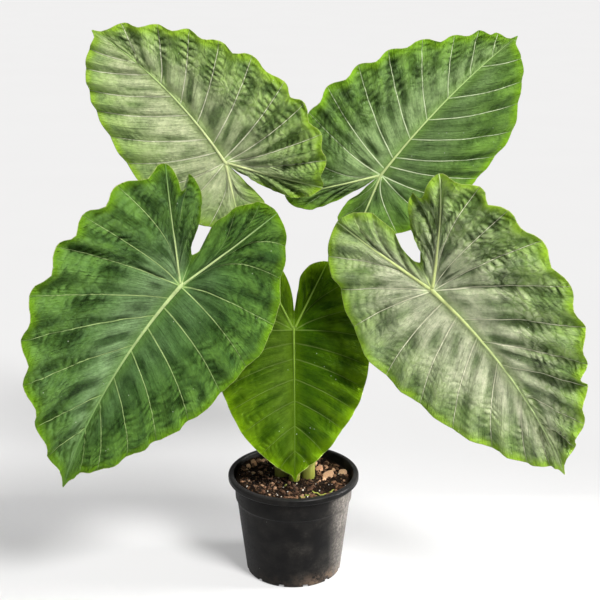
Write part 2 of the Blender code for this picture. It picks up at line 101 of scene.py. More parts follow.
# On the soil: height and size of its coarse and of its fine roughness, how many shapes each kind of lump
# has, and how many lumps there are
SOIL_ROUGHNESS = ((0.0007, 0.0035), (0.0005, 0.0017))
LUMP_KINDS = 12
CRUMB_COUNT = 1500
CHIP_COUNT = 150
PERLITE_COUNT = 70

# Pale lumps of bark: the place of each and its half sizes
PALE_BARK = (
    ((0.053, 0.006), (0.0092, 0.0080, 0.0020)),
    ((0.076, 0.016), (0.0090, 0.0066, 0.0020)),
    ((0.040, 0.028), (0.0060, 0.0050, 0.0020)),
    ((0.050, 0.040), (0.0046, 0.0034, 0.0016)),
    ((0.062, 0.028), (0.0052, 0.0030, 0.0018)),
    ((0.034, 0.044), (0.0042, 0.0028, 0.0016)),
    ((-0.062, 0.040), (0.0060, 0.0034, 0.0018)),
    ((-0.050, 0.050), (0.0052, 0.0032, 0.0016)),
    ((-0.070, 0.030), (0.0042, 0.0030, 0.0016)),
    ((-0.040, 0.056), (0.0056, 0.0034, 0.0018)),
    ((0.047, -0.006), (0.0034, 0.0028, 0.0016)),
)

# Scraps of old leaf: x, y, turn and length of each, and the half width and steps of all
SCRAPS = (
    (0.026, -0.062, 0.15, 0.020), (0.045, -0.055, 0.5, 0.017), (0.034, -0.052, -0.4, 0.014),
    (0.058, -0.044, 0.9, 0.013), (-0.012, -0.030, 1.2, 0.010), (0.015, -0.070, 0.0, 0.010),
)
SCRAP_HALF_WIDTH = 0.0011
SCRAP_STEPS = 14
SCRAP_SIDES = 6

# Stalks: a sheath over this share of their length, lengthwise ridges and one groove
STALK_SIDES = 36
STALK_RINGS = 150
STALK_TOP_RADIUS = 0.0045
STALK_WAIST_RADIUS = 0.0068
STALK_COLLAR = 0.012
SHEATH_SHARE = 0.12
RIDGE_COUNT = 11
RIDGE_DEPTH = 0.012
GROOVE_DEPTH = 0.05
GROOVE_WIDTH = 0.5

# Blades: sheets with a fold along the midrib, whose width narrows by a share towards the tip, an arch
# from side to side, and a tip and lobes that droop; the last columns start at a share of the tip's reach.
# A side vein that leaves its lobe's main vein beyond FOLLOW_SPAN follows it fully up to there.
CAD_THICKNESS = 0.0014
BLADE_THICKNESS = 0.0010
EDGE_THINNING = 0.45
MIDRIB_HALF_WIDTH = 0.004
MIDRIB_NARROWING = 0.8
LAST_ROOT = 0.9
BLADE_ROWS = 151
VEIN_BOW = 0.07
FOLD = 0.20
FOLD_ROUND = 0.010
ARCH = 0.9
TIP_DROOP = 0.33
LOBE_DROOP = 0.30
DRIP_TIP = 0.009
DRIP_TIP_SPAN = 0.12
FOLLOW_SPAN = 0.03

# Waves of a blade's edge: full from this width of a bay on, weaker along the inner edge of a lobe,
# uneven by this share from bay to bay, and dying out towards the midrib by this power. Between two veins
# the edge is drawn in by a sine of this power.
WAVE_SPAN = 0.045
INNER_WAVE = 0.35
UNEVEN = 0.3
UNEVEN_TURN = 2.4
WAVE_POWER = 2.2
DRAWN_IN_POWER = 3

# How fast the edge still draws in at the bottom of the notch between the lobes: 0 makes it round.
SINUS_SLOPE = 0.0

# Relief of a blade's sheet: rows of puckers beside the veins, with a hollow of this share of their height
# round them and rates that give each its own size, bulges and long folds between the veins, the swell
# of each bay, the creases in which the veins lie, an unevenness all over, and a smooth strip along
# the main vein of each lobe
PUCKER_SPACING = 0.0098
PUCKER_SLANT = 0.55
PUCKER_REACH = 0.017
PUCKER_HEIGHT = 0.0060
PUCKER_HOLLOW = 0.42
DICE_RATES = (12.9898, 78.233, 437.585)
BULGE = 0.0019
BULGE_SIZE = 0.0105
FAN_HEIGHT = 0.0021
FAN_SPACING = 0.0095
SWELL = 0.0026
CREASE = 0.0016
CREASE_REACH = 0.0034
CRUMPLE = 0.0017
CRUMPLE_SIZES = (0.027, 0.011)
SMOOTH_STRIP = (0.0022, 0.0080)

# Where each part of the relief sets in or ends, as a share of the way from the midrib to the edge
PUCKERS_FROM = (0.28, 0.60)
FOLDS_FROM = (0.03, 0.20)
BULGES_FROM = (0.25, 0.65)
SWELL_FROM = (0.02, 0.25)
RELIEF_FROM = (0.0, 0.06)
EDGE_FROM = (0.93, 1.0)

# Where the puckers beside the midrib set in and end, as a share of the way to the tip
TIP_PUCKERS_FROM = (0.46, 0.68)
TIP_PUCKERS_TO = (0.90, 0.99)

# Widths of a bay between which each part of the relief gains its full height
PUCKER_BAYS = (0.008, 0.022)
FOLD_BAYS = (0.006, 0.024)
BULGE_BAYS = (0.006, 0.020)
SWELL_BAYS = (0.004, 0.025)
PATTERN_BAYS = (0.004, 0.020)

# Side veins: half width, how much they thin, and how far they stand out above and below the sheet
VEIN_HALF_WIDTH = 0.00085
SMALL_VEIN_HALF_WIDTH = 0.0006
VEIN_THINNING = 0.62
VEIN_ABOVE = 0.00025
VEIN_BELOW = 0.0011
SMALL_VEIN_BELOW = 0.0006

# Ribs: where the midrib starts and which shares of their lines they follow, how much they thin, half
# width of the main vein of a lobe and of the seam, and how far each line is lifted
RIB_START = -0.006
RIB_END = 0.97
RIB_THINNING = 0.84
LOBE_RIB_END = 0.94
LOBE_RIB_THINNING = 0.80
LOBE_RIB = 0.0022
SEAM_RIB = 0.0008
RIB_LIFT = 0.0001
RIB_SIDES = 16
RIB_RINGS = 120

# Where the columns of one bay stand between two veins, closer at the veins
BAY_STEPS = (0.0, 0.035, 0.11, 0.21, 0.35, 0.5, 0.65, 0.79, 0.89, 0.965)

# Each blade: where the stalk meets it, where its tip points, and the way its upper face looks.
# A side lists its veins from tip to lobe: root along the midrib in mm, bearing of the end in degrees
# from the line to the tip, and reach of the end from the stalk in mm. The last `inner` entries follow
# the inner edge of the lobe, past its main vein. `sinus` is the bearing, on the right, and the reach
# of the bottom of the notch; `tip` is the bearing and reach of the tip; `bow` bends the midrib, in mm.
# `wave` is how far each edge rises and falls, and `dip` how far it draws in between two veins; `lobe_bow`
# bends the main vein of each lobe. `quilt` is how strongly each side puckers between its veins, `rib` and
# `lobe_rib` are the widths of the midrib and of the lobes' main veins, and `branches` says how far from
# the stalk, in mm, the side veins of a lobe leave its main vein, nearest to it first: the outer ones,
# then the inner.
BLADES = {
    "left": {
        "stalk_end": (-0.153, -0.120, 0.495),
        "tip_at": (-0.318, -0.190, 0.226),
        "facing": (0.405, -0.914, -0.011),
        "tip": (-3, 334),
        "bow": 19,
        "sinus": (169, 46),
        "wave": {"right": 0.0075, "left": 0.0042},
        "dip": {"right": 0.0060, "left": 0.0028},
        "right": (
            (237, 5, 303), (182, 14, 277), (100, 28, 250), (50, 43, 226), (21, 59, 206),
            (0, 80, 183), (0, 97, 173), (0, 117, 169), (0, 141, 172),
            (0, 148, 134), (0, 153, 155), (0, 163.5, 112), (0, 162, 62),
        ),
        "left": (
            (237, 5, 306), (192, 9, 293), (152, 16, 262), (108, 24, 232), (70, 36, 204),
            (35, 52, 176), (0, 69, 163), (0, 95, 155), (0, 121, 147), (0, 137, 162),
            (0, 155, 169), (0, 165, 160), (0, 173, 134), (0, 181.5, 95), (0, 179, 64),
        ),
        "inner": {"right": 4, "left": 4},
        "lobe_bow": {"right": -0.03, "left": 0.0},
        "rib": 0.80,
        "lobe_rib": 0.70,
        "quilt": {"right": 0.9, "left": 0.8},
        "branches": {"right": ((72, 16), (110, 75, 40)), "left": ((125, 78, 14), (110, 70))},
    },
    "right": {
        "stalk_end": (0.191, -0.120, 0.488),
        "tip_at": (0.374, -0.190, 0.245),
        "facing": (-0.416, -0.908, -0.052),
        "tip": (3, 322),
        "bow": -20,
        "sinus": (193, 43),
        "wave": {"right": 0.0046, "left": 0.0066},
        "dip": {"right": 0.0030, "left": 0.0036},
        "right": (
            (233, 5, 302), (184, 10, 284), (128, 18, 246), (85, 30, 209), (46, 44, 174),
            (20, 65, 152), (0, 98, 134), (0, 122, 137), (0, 140, 158), (0, 159, 164),
            (0, 168, 154), (0, 176, 135), (0, 182, 98), (0, 180, 60),
        ),
        "left": (
            (233, 4, 295), (186, 12, 275), (135, 23, 245), (93, 31, 229), (53, 44, 212),
            (0, 60, 191), (0, 82, 173), (0, 102, 163), (0, 119, 165), (0, 139, 166),
            (0, 148, 133), (0, 154, 139), (0, 161, 100), (0, 158, 63),
        ),
        "inner": {"right": 4, "left": 4},
        "lobe_bow": {"right": 0.0, "left": -0.09},
        "rib": 0.80,
        "lobe_rib": 1.0,
        "quilt": {"right": 0.42, "left": 1.0},
        "branches": {"right": ((70, 6), (115, 85, 50)), "left": ((76, 22), (110, 80, 40))},
    },
    "back_left": {
        "stalk_end": (-0.102, 0.100, 0.620),
        "tip_at": (-0.297, 0.130, 0.813),
        "facing": (-0.190, -0.981, -0.039),
        "tip": (-2, 280),
        "bow": 16,
        "sinus": (175, 10),
        "wave": {"right": 0.0065, "left": 0.0040},
        "dip": {"right": 0.0050, "left": 0.0024},
        "right": (
            (193, 7, 256), (147, 19, 225), (106, 31, 202), (69, 44, 181), (31, 61, 167),
            (5, 82, 155), (0, 98, 154), (0, 117, 155), (0, 132, 154), (0, 148, 151),
            (0, 158, 127), (0, 164, 88), (0, 166, 44),
        ),
        "left": (
            (195, 7, 266), (169, 13, 254), (123, 19, 235), (86, 25, 213), (41, 34, 183),
            (18, 47, 154), (0, 66, 128), (0, 90, 112), (0, 119, 104), (0, 147, 101),
            (0, 177, 87), (0, 181, 61), (0, 182, 32),
        ),
        "inner": {"right": 3, "left": 3},
        "lobe_bow": {"right": 0.0, "left": 0.0},
        "rib": 0.62,
        "lobe_rib": 0.85,
        "quilt": {"right": 0.95, "left": 0.22},
        "branches": {"right": ((40, 8), (80, 45)), "left": ((38,), (60, 30))},
    },
    "back_right": {
        "stalk_end": (0.134, 0.140, 0.592),
        "tip_at": (0.338, 0.170, 0.801),
        "facing": (0.156, -0.988, -0.010),
        "tip": (2, 297),
        "bow": -9,
        "sinus": (192, 9),
        "wave": {"right": 0.0040, "left": 0.0065},
        "dip": {"right": 0.0024, "left": 0.0046},
        "right": (
            (223, 8, 280), (153, 14, 261), (108, 20, 240), (69, 29, 217), (33, 38, 182),
            (17, 49, 153), (0, 65, 124), (0, 88, 106), (0, 119, 97), (0, 158, 99),
            (0, 180, 94), (0, 187, 65), (0, 188, 29),
        ),
        "left": (
            (245, 3, 279), (199, 9, 263), (152, 16, 237), (107, 28, 213), (69, 42, 190),
            (30, 57, 173), (10, 76, 162), (0, 93, 151), (0, 117, 145), (0, 145, 151),
            (0, 156, 132), (0, 161, 103), (0, 164, 53),
        ),
        "inner": {"right": 3, "left": 3},
        "lobe_bow": {"right": 0.0, "left": 0.0},
        "rib": 0.56,
        "lobe_rib": 0.75,
        "quilt": {"right": 0.28, "left": 0.85},
        "branches": {"right": ((24,), (50, 25)), "left": ((50, 12), (80, 45))},
    },
    "front": {
        "stalk_end": (0.001, -0.030, 0.400),
        "tip_at": (0.004, -0.075, 0.178),
        "facing": (0.093, -0.975, 0.199),
        "tip": (0, 231),
        "bow": 0,
        "sinus": (182, 28),
        "wave": {"right": 0.0020, "left": 0.0020},
        "dip": {"right": 0.0012, "left": 0.0012},
        "right": (
            (181, 6, 211), (142, 15, 192), (104, 27, 171), (71, 39, 151), (41, 52, 136),
            (18, 66, 120), (0, 86, 107), (0, 110, 103), (0, 133, 110), (0, 154, 111),
            (0, 167, 98), (0, 173, 78), (0, 178, 53),
        ),
        "left": (
            (181, 6, 207), (142, 13, 192), (104, 25, 166), (71, 36, 151), (41, 49, 135),
            (18, 63, 122), (0, 83, 108), (0, 108, 102), (0, 131, 109), (0, 153, 111),
            (0, 165, 98), (0, 172, 79), (0, 174, 53),
        ),
        "inner": {"right": 3, "left": 3},
        "lobe_bow": {"right": 0.0, "left": 0.0},
        "rib": 0.50,
        "lobe_rib": 0.70,
        "quilt": {"right": 0.30, "left": 0.35},
        "branches": {"right": ((42, 12), (70, 40)), "left": ((42, 12), (70, 40))},
    },
}

# Each stalk: its place in the soil, base radius, upright reach, and the way it arrives at its blade.
STALKS = {
    "left": {"foot": (-0.0185, 0.0070), "radius": 0.0105, "rise": (-0.012, 0.040, 0.24),
             "arrival": (-0.30, -0.90, 0.22), "knee": 0.11},
    "right": {"foot": (0.0220, 0.0070), "radius": 0.0110, "rise": (0.018, 0.040, 0.22),
              "arrival": (0.30, -0.90, 0.22), "knee": 0.11},
    "back_left": {"foot": (-0.0090, 0.0300), "radius": 0.0095, "rise": (-0.006, 0.015, 0.22),
                  "arrival": (-0.25, -0.60, 0.76), "knee": 0.09},
    "back_right": {"foot": (0.0135, 0.0310), "radius": 0.0095, "rise": (0.006, 0.019, 0.20),
                   "arrival": (0.25, -0.60, 0.76), "knee": 0.09},
    "front": {"foot": (0.0015, -0.0050), "radius": 0.0085, "rise": (0.0, 0.01, 0.10),
              "arrival": (0.0, -0.75, 0.60), "knee": 0.06},
}

# Rim of every blade
PALE_RIM = (0.55, 0.62, 0.20)

# Colours of each blade's upper face and ribs; a painted sheen, in the colour `pale`, with how much of it lies
# on the blade's right and left and how far out it reaches; `line` the colour of its side veins and `veins`
# how clear they are.
# Much of the difference in brightness between the blades and their ribs is painted light and shade: the right
# and back left blades are painted lighter than the left and back right ones.
BLADE_LOOKS = {
    "left": {
        "deep": (0.0, 0.010, 0.0), "mid": (0.040, 0.122, 0.022), "light": (0.150, 0.310, 0.042),
        "margin": (0.145, 0.310, 0.005), "pale": (0.50, 0.72, 0.36), "painted_sheen": (0.48, 0.14, 0.60),
        "gloss": 0.10, "veins": 0.80, "line": (0.46, 0.62, 0.24),
        "rib": (0.46, 0.58, 0.24), "rib_end": (0.13, 0.25, 0.06),
    },
    "right": {
        "deep": (0.002, 0.026, 0.001), "mid": (0.160, 0.335, 0.074), "light": (0.380, 0.600, 0.110),
        "margin": (0.320, 0.560, 0.016), "pale": (1.0, 1.0, 0.72), "painted_sheen": (0.95, 0.80, 0.95),
        "gloss": 0.20, "veins": 0.95, "line": (1.0, 1.0, 0.72),
        "rib": (0.66, 0.76, 0.28), "rib_end": (0.58, 0.74, 0.32),
    },
    "back_left": {
        "deep": (0.003, 0.034, 0.002), "mid": (0.165, 0.345, 0.066), "light": (0.400, 0.620, 0.120),
        "margin": (0.330, 0.570, 0.020), "pale": (0.95, 1.0, 0.62), "painted_sheen": (0.66, 0.95, 0.92),
        "gloss": 0.16, "veins": 0.9, "line": (1.0, 1.0, 0.74),
        "rib": (0.72, 0.80, 0.38), "rib_end": (0.40, 0.58, 0.18),
    },
    "back_right": {
        "deep": (0.0, 0.012, 0.0), "mid": (0.048, 0.136, 0.022), "light": (0.225, 0.430, 0.055),
        "margin": (0.250, 0.510, 0.014), "pale": (0.62, 0.84, 0.38), "painted_sheen": (0.26, 0.66, 0.80),
        "gloss": 0.12, "veins": 0.95, "line": (0.80, 0.92, 0.58),
        "rib": (0.56, 0.68, 0.28), "rib_end": (0.34, 0.50, 0.16),
    },
    "front": {
        "deep": (0.008, 0.038, 0.0), "mid": (0.040, 0.108, 0.001), "light": (0.120, 0.235, 0.003),
        "margin": (0.160, 0.310, 0.002), "pale": (0.30, 0.46, 0.06), "painted_sheen": (0.30, 0.0, 0.55),
        "gloss": 0.05, "veins": 0.22, "line": (0.40, 0.52, 0.14),
        "rib": (0.16, 0.27, 0.02), "rib_end": (0.10, 0.19, 0.005),
    },
}


# Small tools

def unit(vector):
    return np.asarray(vector, float) / np.linalg.norm(vector)


def smoothstep(low, high, value):
    part = np.clip((value - low) / (high - low), 0, 1)
    return part * part * (3 - 2 * part)


def ripple(x, y, size, seed, waves=9):
    """Smooth noise about zero, mostly within one, with features of about that size."""
    draw = np.random.default_rng(seed)
    total = 0
    for _ in range(waves):
        angle, turn = draw.uniform(0, math.tau, 2)
        rate = math.tau / (size * draw.uniform(1.2, 2.6))
        total = total + np.sin((x * math.cos(angle) + y * math.sin(angle)) * rate + turn)
    return total / math.sqrt(2 * waves) * 1.2


def new_piece(name, points, faces, materials, face_slots=None, facts=None):
    """A smooth-shaded piece with its materials and named numbers for each point."""
    mesh = bpy.data.meshes.new(name)
    mesh.from_pydata([tuple(p) for p in points], [], faces)
    for made in materials:
        mesh.materials.append(made)
    if face_slots is not None:
        mesh.polygons.foreach_set("material_index", np.asarray(face_slots, np.int32))
    for fact, values in (facts or {}).items():
        values = np.asarray(values, np.float32)
        kind = "FLOAT" if values.ndim == 1 else "FLOAT_VECTOR"
        data = mesh.attributes.new(fact, kind, "POINT").data
        data.foreach_set("value" if values.ndim == 1 else "vector", values.ravel())
    mesh.shade_smooth()
    mesh.update()
    obj = bpy.data.objects.new(name, mesh)
    bpy.context.scene.collection.objects.link(obj)
    return obj


def grid_faces(rows, columns, first=0, closed=False, flip=False):
    """Quads over a grid of points, one row after another; closed joins the last column to the first."""
    faces = []
    for i in range(rows - 1):
        for j in range(columns if closed else columns - 1):
            after = (j + 1) % columns
            a = first + i * columns + j
            b = first + i * columns + after
            face = (a, b, b + columns, a + columns)
            faces.append(face[::-1] if flip else face)
    return faces


def closed_tube(rows, columns, first=0):
    """Faces of a tube of rings of points, closed at both ends."""
    faces = grid_faces(rows, columns, first=first, closed=True)
    faces.append(tuple(first + k for k in range(columns))[::-1])
    faces.append(tuple(first + (rows - 1) * columns + k for k in range(columns)))
    return faces


# Blade surfaces

def blade_axes(blade):
    """Origin of the blade's plane, then its directions to the tip, to its right and out of its upper face."""
    origin = np.array(blade["stalk_end"])
    along = unit(np.array(blade["tip_at"]) - origin)
    facing = np.array(blade["facing"])
    facing = unit(facing - (facing @ along) * along)
    return origin, along, np.cross(along, facing), facing


def midrib_side(blade, u):
    """How far the midrib runs to the right of the straight line, at u."""
    bearing, reach = blade["tip"]
    length = reach / 1000 * math.cos(math.radians(bearing))
    aside = reach / 1000 * math.sin(math.radians(bearing))
    part = np.clip(u / length, 0.0, 1.0)
    return blade["bow"] / 1000 * 4 * part * (1 - part) + aside * part * part


def blade_bend(u, v):
    """Height of the smooth blade over its plane: folded at the midrib, arched, tip and lobes drooping."""
    fold = FOLD * (np.hypot(v, FOLD_ROUND) - FOLD_ROUND)
    droop = np.where(u > 0, TIP_DROOP, LOBE_DROOP)
    return fold - ARCH * v * v - droop * u * u


def side_columns(blade, side):
    """Root, bearing, reach, vein bow and branch of each column: the tip, each vein, then the sinus."""
    sign = 1 if side == "right" else -1
    tip_bearing, tip_reach = blade["tip"]
    sinus_bearing, sinus_reach = blade["sinus"]
    sinus_bearing = sinus_bearing if side == "right" else 360 - sinus_bearing
    veins = blade[side]
    lobe = len(veins) - blade["inner"][side]
    outer, inner = blade["branches"][side]
    branches = dict(zip(range(lobe - 2, -1, -1), outer)) | dict(zip(range(lobe, len(veins)), inner))
    branches[lobe - 1] = veins[lobe - 1][2]
    bows = [VEIN_BOW] * (lobe - 1) + [blade["lobe_bow"][side]] + [0.0] * blade["inner"][side]
    rows = [(LAST_ROOT * tip_reach, sign * tip_bearing, tip_reach - 1000 * DRIP_TIP, 0.0, 0.0)]
    for index, vein in enumerate(veins):
        rows.append((*vein, bows[index], branches.get(index, 0) / 1000))
    rows.append((0, sinus_bearing, sinus_reach, 0.0, 0.0))
    return np.array(rows, float), lobe


def edge_strength(blade, side, table, lobe, columns):
    """How strongly the edge waves at each column, by the width of the bays there."""
    sign = 1 if side == "right" else -1
    last = len(table) - 1
    bay = np.arange(last)
    reach = (table[1:, 2] + table[:-1, 2]) / 2000
    span = np.abs(np.diff(table[:, 1])) * math.radians(1) * reach + np.abs(np.diff(table[:, 2])) / 1000
    strength = np.minimum(span / WAVE_SPAN, 1.0) * np.where(bay < lobe, 1.0, INNER_WAVE)
    strength *= 1 + UNEVEN * np.sin(UNEVEN_TURN * bay + blade["tip"][1] + sign)
    return np.interp(columns, bay + 0.5, strength) * np.minimum(np.minimum(columns, last - columns), 1.0)


def smooth_between(values, bay, part, last_slope=1.0):
    """Values between veins on a curve that runs smoothly through the value at each vein."""
    slope = np.gradient(values)
    slope[0] = values[1] - values[0]
    slope[-1] = last_slope * (values[-1] - values[-2])
    start, end = values[bay], values[bay + 1]
    curve = (2 * part ** 3 - 3 * part ** 2 + 1) * start + (3 * part ** 2 - 2 * part ** 3) * end
    return curve + (part ** 3 - 2 * part ** 2 + part) * slope[bay] + (part ** 3 - part ** 2) * slope[bay + 1]


def side_surface(blade, side, columns):
    """The blade's points for the given columns, from midrib to edge, with what the materials need to know."""
    table, lobe = side_columns(blade, side)
    sign = 1 if side == "right" else -1
    last = len(table) - 1
    bay = np.minimum(columns.astype(int), last - 1)
    part = columns - bay
    mixed = table[bay] * (1 - part)[:, None] + table[bay + 1] * part[:, None]
    root, _, _, bow, branch = mixed.T
    bearing = smooth_between(table[:, 1], bay, part)
    reach = smooth_between(table[:, 2], bay, part, SINUS_SLOPE)
    strength = edge_strength(blade, side, table, lobe, columns)
    notch = np.abs(np.sin(math.pi * part)) ** DRAWN_IN_POWER
    dip = blade["dip"][side] * strength * notch
    reach = reach / 1000 - dip + DRIP_TIP * np.exp(-((columns / DRIP_TIP_SPAN) ** 2))
    angle = np.radians(bearing)
    root = root / 1000
    width = MIDRIB_HALF_WIDTH * (1 - MIDRIB_NARROWING * root / (blade["tip"][1] / 1000))
    start_v = midrib_side(blade, root) + sign * width * np.sin(angle)
    start = np.stack([root + width * np.cos(angle), start_v], -1)
    end = np.stack([reach * np.cos(angle), sign * reach * np.sin(angle)], -1)
    back = np.stack([-(end - start)[:, 1], (end - start)[:, 0]], -1) * sign
    control = (start + end) / 2 + bow[:, None] * back
    first = start + 2 / 3 * (control - start)
    second = end + 2 / 3 * (control - end)

    # The side veins of a lobe follow its main vein before they leave it.
    costa, costa_reach = math.radians(table[lobe, 1]), table[lobe, 2] / 1000
    ahead = np.array([math.cos(costa), sign * math.sin(costa)])
    swerve = table[lobe, 3] * costa_reach * sign * np.array([-ahead[1], ahead[0]])
    share = branch[:, None] / costa_reach
    leaving = start + branch[:, None] * ahead + 2 * share * (1 - share) * swerve
    hug = np.clip(branch / FOLLOW_SPAN, 0, 1)[:, None]
    first = first * (1 - hug) + (start + 0.75 * (leaving - start) + 1.1 * share ** 2 * swerve) * hug
    second = second * (1 - hug) + (leaving + 0.1 * (end - leaving)) * hug

    t = np.linspace(0, 1, BLADE_ROWS)[None, :, None]
    flat = ((1 - t) ** 3 * start[:, None] + 3 * t * (1 - t) ** 2 * first[:, None]
            + 3 * t * t * (1 - t) * second[:, None] + t ** 3 * end[:, None])
    step = np.linalg.norm(np.diff(flat, axis=1), axis=2)
    run = np.concatenate([np.zeros((len(columns), 1)), np.cumsum(step, axis=1)], axis=1)
    u, v = flat[..., 0], flat[..., 1]
    row = run / run[:, -1:]
    wave = -blade["wave"][side] * strength * (1 - 2 * notch)
    height = blade_bend(u, v) + wave[:, None] * row ** WAVE_POWER
    return {
        "u": u, "v": v, "height": height, "run": run, "row": row, "bay": bay, "part": part,
        "edge": run[:, -1:] - run,
    }


def vein_half_width(run, length, outer):
    """Half the width of a side vein, thinning towards the edge."""
    width = np.where(outer, VEIN_HALF_WIDTH, SMALL_VEIN_HALF_WIDTH)
    return width * (1 - VEIN_THINNING * np.clip(run / length, 0, 1))


def pucker_dome(phase, row_name, away):
    """Height of a row of puckers, one for each unit of phase, and how far out from the vein they reach."""
    number = np.floor(phase)
    dice = np.sin(DICE_RATES[0] * number + DICE_RATES[1] * row_name) * DICE_RATES[2]
    size = 0.45 + 0.55 * (dice - np.floor(dice))
    reach = PUCKER_REACH * (0.65 + 0.5 * (7.3 * dice - np.floor(7.3 * dice)))
    dome = size * np.abs(np.sin(math.pi * phase)) ** 0.9 * (1 - smoothstep(0.45, 1.05, away / reach))
    return dome, 1 - smoothstep(0.5, 1.05, away / PUCKER_REACH)


def places_among_veins(blade, side):
    """Where each point of one side of the blade lies among its veins."""
    table, lobe = side_columns(blade, side)
    last = len(table) - 1
    columns = np.array([bay + step for bay in range(last) for step in BAY_STEPS] + [last], float)
    surface = side_surface(blade, side, columns)
    veins = side_surface(blade, side, np.arange(last + 1, dtype=float))
    bay, part = surface["bay"], surface["part"]
    nearest = np.where(part < 0.5, bay, bay + 1)
    aside = np.minimum(part, 1 - part)[:, None]
    spread = np.hypot(np.diff(veins["u"], axis=0), np.diff(veins["v"], axis=0))[bay]
    return SimpleNamespace(
        **surface,
        columns=columns[:, None],
        nearest=nearest,
        aside=aside,
        spread=spread,
        away=aside * spread,
        vein_run=veins["run"][nearest],
        vein_length=veins["run"][nearest, -1:],
        outer=((nearest >= 1) & (nearest <= lobe))[:, None],
        is_vein=((nearest >= 1) & (nearest < last))[:, None],
        mirror=np.where(part < 0.5, 1, -1)[:, None],
        rib_away=np.abs(surface["v"] - midrib_side(blade, surface["u"])),
        sign=1 if side == "right" else -1,
        quilt=blade["quilt"][side],
        last=last,
        lobe=lobe,
        costa=table[lobe],
    )


def vein_puckers(at, seed):
    """Puckers between the small veins that leave each side vein at a slant, each with its own size.

    Their rows fade towards the midrib, the edge and the middle of the bay. Also gives the phase along
    each row and how strong it is.
    """
    draw = np.random.default_rng(seed)
    shift = draw.uniform(0, 1, at.last + 2)[at.nearest][:, None] + 0.37 * (at.mirror > 0)
    spacing = PUCKER_SPACING * draw.uniform(0.85, 1.2, at.last + 2)[at.nearest][:, None]
    wobble = 0.20 * ripple(at.u, at.v, 0.030, seed + 1) + 0.05 * ripple(at.u, at.v, 0.010, seed + 2)
    phase = (at.vein_run - PUCKER_SLANT * at.away) / spacing + shift + wobble
    patch = 0.72 + 0.28 * np.tanh(1.8 * ripple(at.u, at.v, 0.040, seed + 3))
    share = draw.uniform(0.7, 1.0, at.last + 2)[at.nearest][:, None]
    envelope = smoothstep(*PUCKERS_FROM, at.row) * (1 - 0.7 * smoothstep(*EDGE_FROM, at.row)) * patch * share
    envelope = envelope * smoothstep(*PUCKER_BAYS, at.spread)
    envelope = envelope * (1 - smoothstep(0.34, 0.50, at.aside)) * at.is_vein
    dome, length_out = pucker_dome(phase, at.nearest[:, None] + 0.5 * at.mirror, at.away)
    inset = smoothstep(0.0002, 0.0022, at.away)
    relief = PUCKER_HEIGHT * at.quilt * envelope * inset * (dome - PUCKER_HOLLOW * length_out)
    return relief, phase, envelope


def midrib_puckers(blade, at, seed):
    """Puckers on both sides of the midrib near the tip."""
    tip = blade["tip"][1] / 1000
    near_tip = 1.25 * smoothstep(*TIP_PUCKERS_FROM, at.u / tip)
    near_tip = near_tip * (1 - smoothstep(*TIP_PUCKERS_TO, at.u / tip))
    near_tip = near_tip * (1 - 0.6 * smoothstep(0.8, 1.0, at.row)) * smoothstep(0.0005, 0.003, at.rib_away)
    phase = (at.u - 0.7 * at.rib_away) / (1.1 * PUCKER_SPACING) + 0.2 * ripple(at.u, at.v, 0.03, seed + 4)
    dome, length_out = pucker_dome(phase, 3.3 * at.sign, at.rib_away)
    return PUCKER_HEIGHT * at.quilt * near_tip * (dome - PUCKER_HOLLOW * length_out)


def bay_folds(at, seed):
    """Long folds that fan out between the side veins."""
    fan = ripple(0.03 * at.columns + 0 * at.run, 0.20 * at.run, FAN_SPACING, seed + 7, waves=14)
    height = np.minimum(0.065 * at.spread, FAN_HEIGHT) * smoothstep(*FOLDS_FROM, at.row)
    height = height * smoothstep(*FOLD_BAYS, at.spread)
    return height * fan * (0.25 + 0.75 * at.quilt)


def bay_bulges(at, seed):
    """Irregular bulges with sharp creases between them, across the bays."""
    bulge = np.abs(ripple(at.run, 0.016 * at.columns + 0 * at.run, BULGE_SIZE, seed + 8)) - 0.5
    return BULGE * at.quilt * bulge * smoothstep(*BULGES_FROM, at.row) * smoothstep(*BULGE_BAYS, at.spread)


def relief_cover(at):
    """How freely the relief may rise: not at the tip, the seam, the midrib and the lobe's main vein."""
    cover = np.minimum(np.minimum(at.columns, at.last - at.columns), 1.0) * smoothstep(*RELIEF_FROM, at.row)
    cover = cover * smoothstep(0.0, 0.005, at.rib_away)
    costa, costa_reach = math.radians(at.costa[1]), at.costa[2] / 1000
    share = np.clip((at.u * math.cos(costa) + at.sign * at.v * math.sin(costa)) / costa_reach, 0, 1)
    aside = at.sign * at.v * math.cos(costa) - at.u * math.sin(costa)
    away = np.abs(aside - 2 * share * (1 - share) * at.costa[3] * costa_reach)
    return cover * smoothstep(*SMOOTH_STRIP, away)


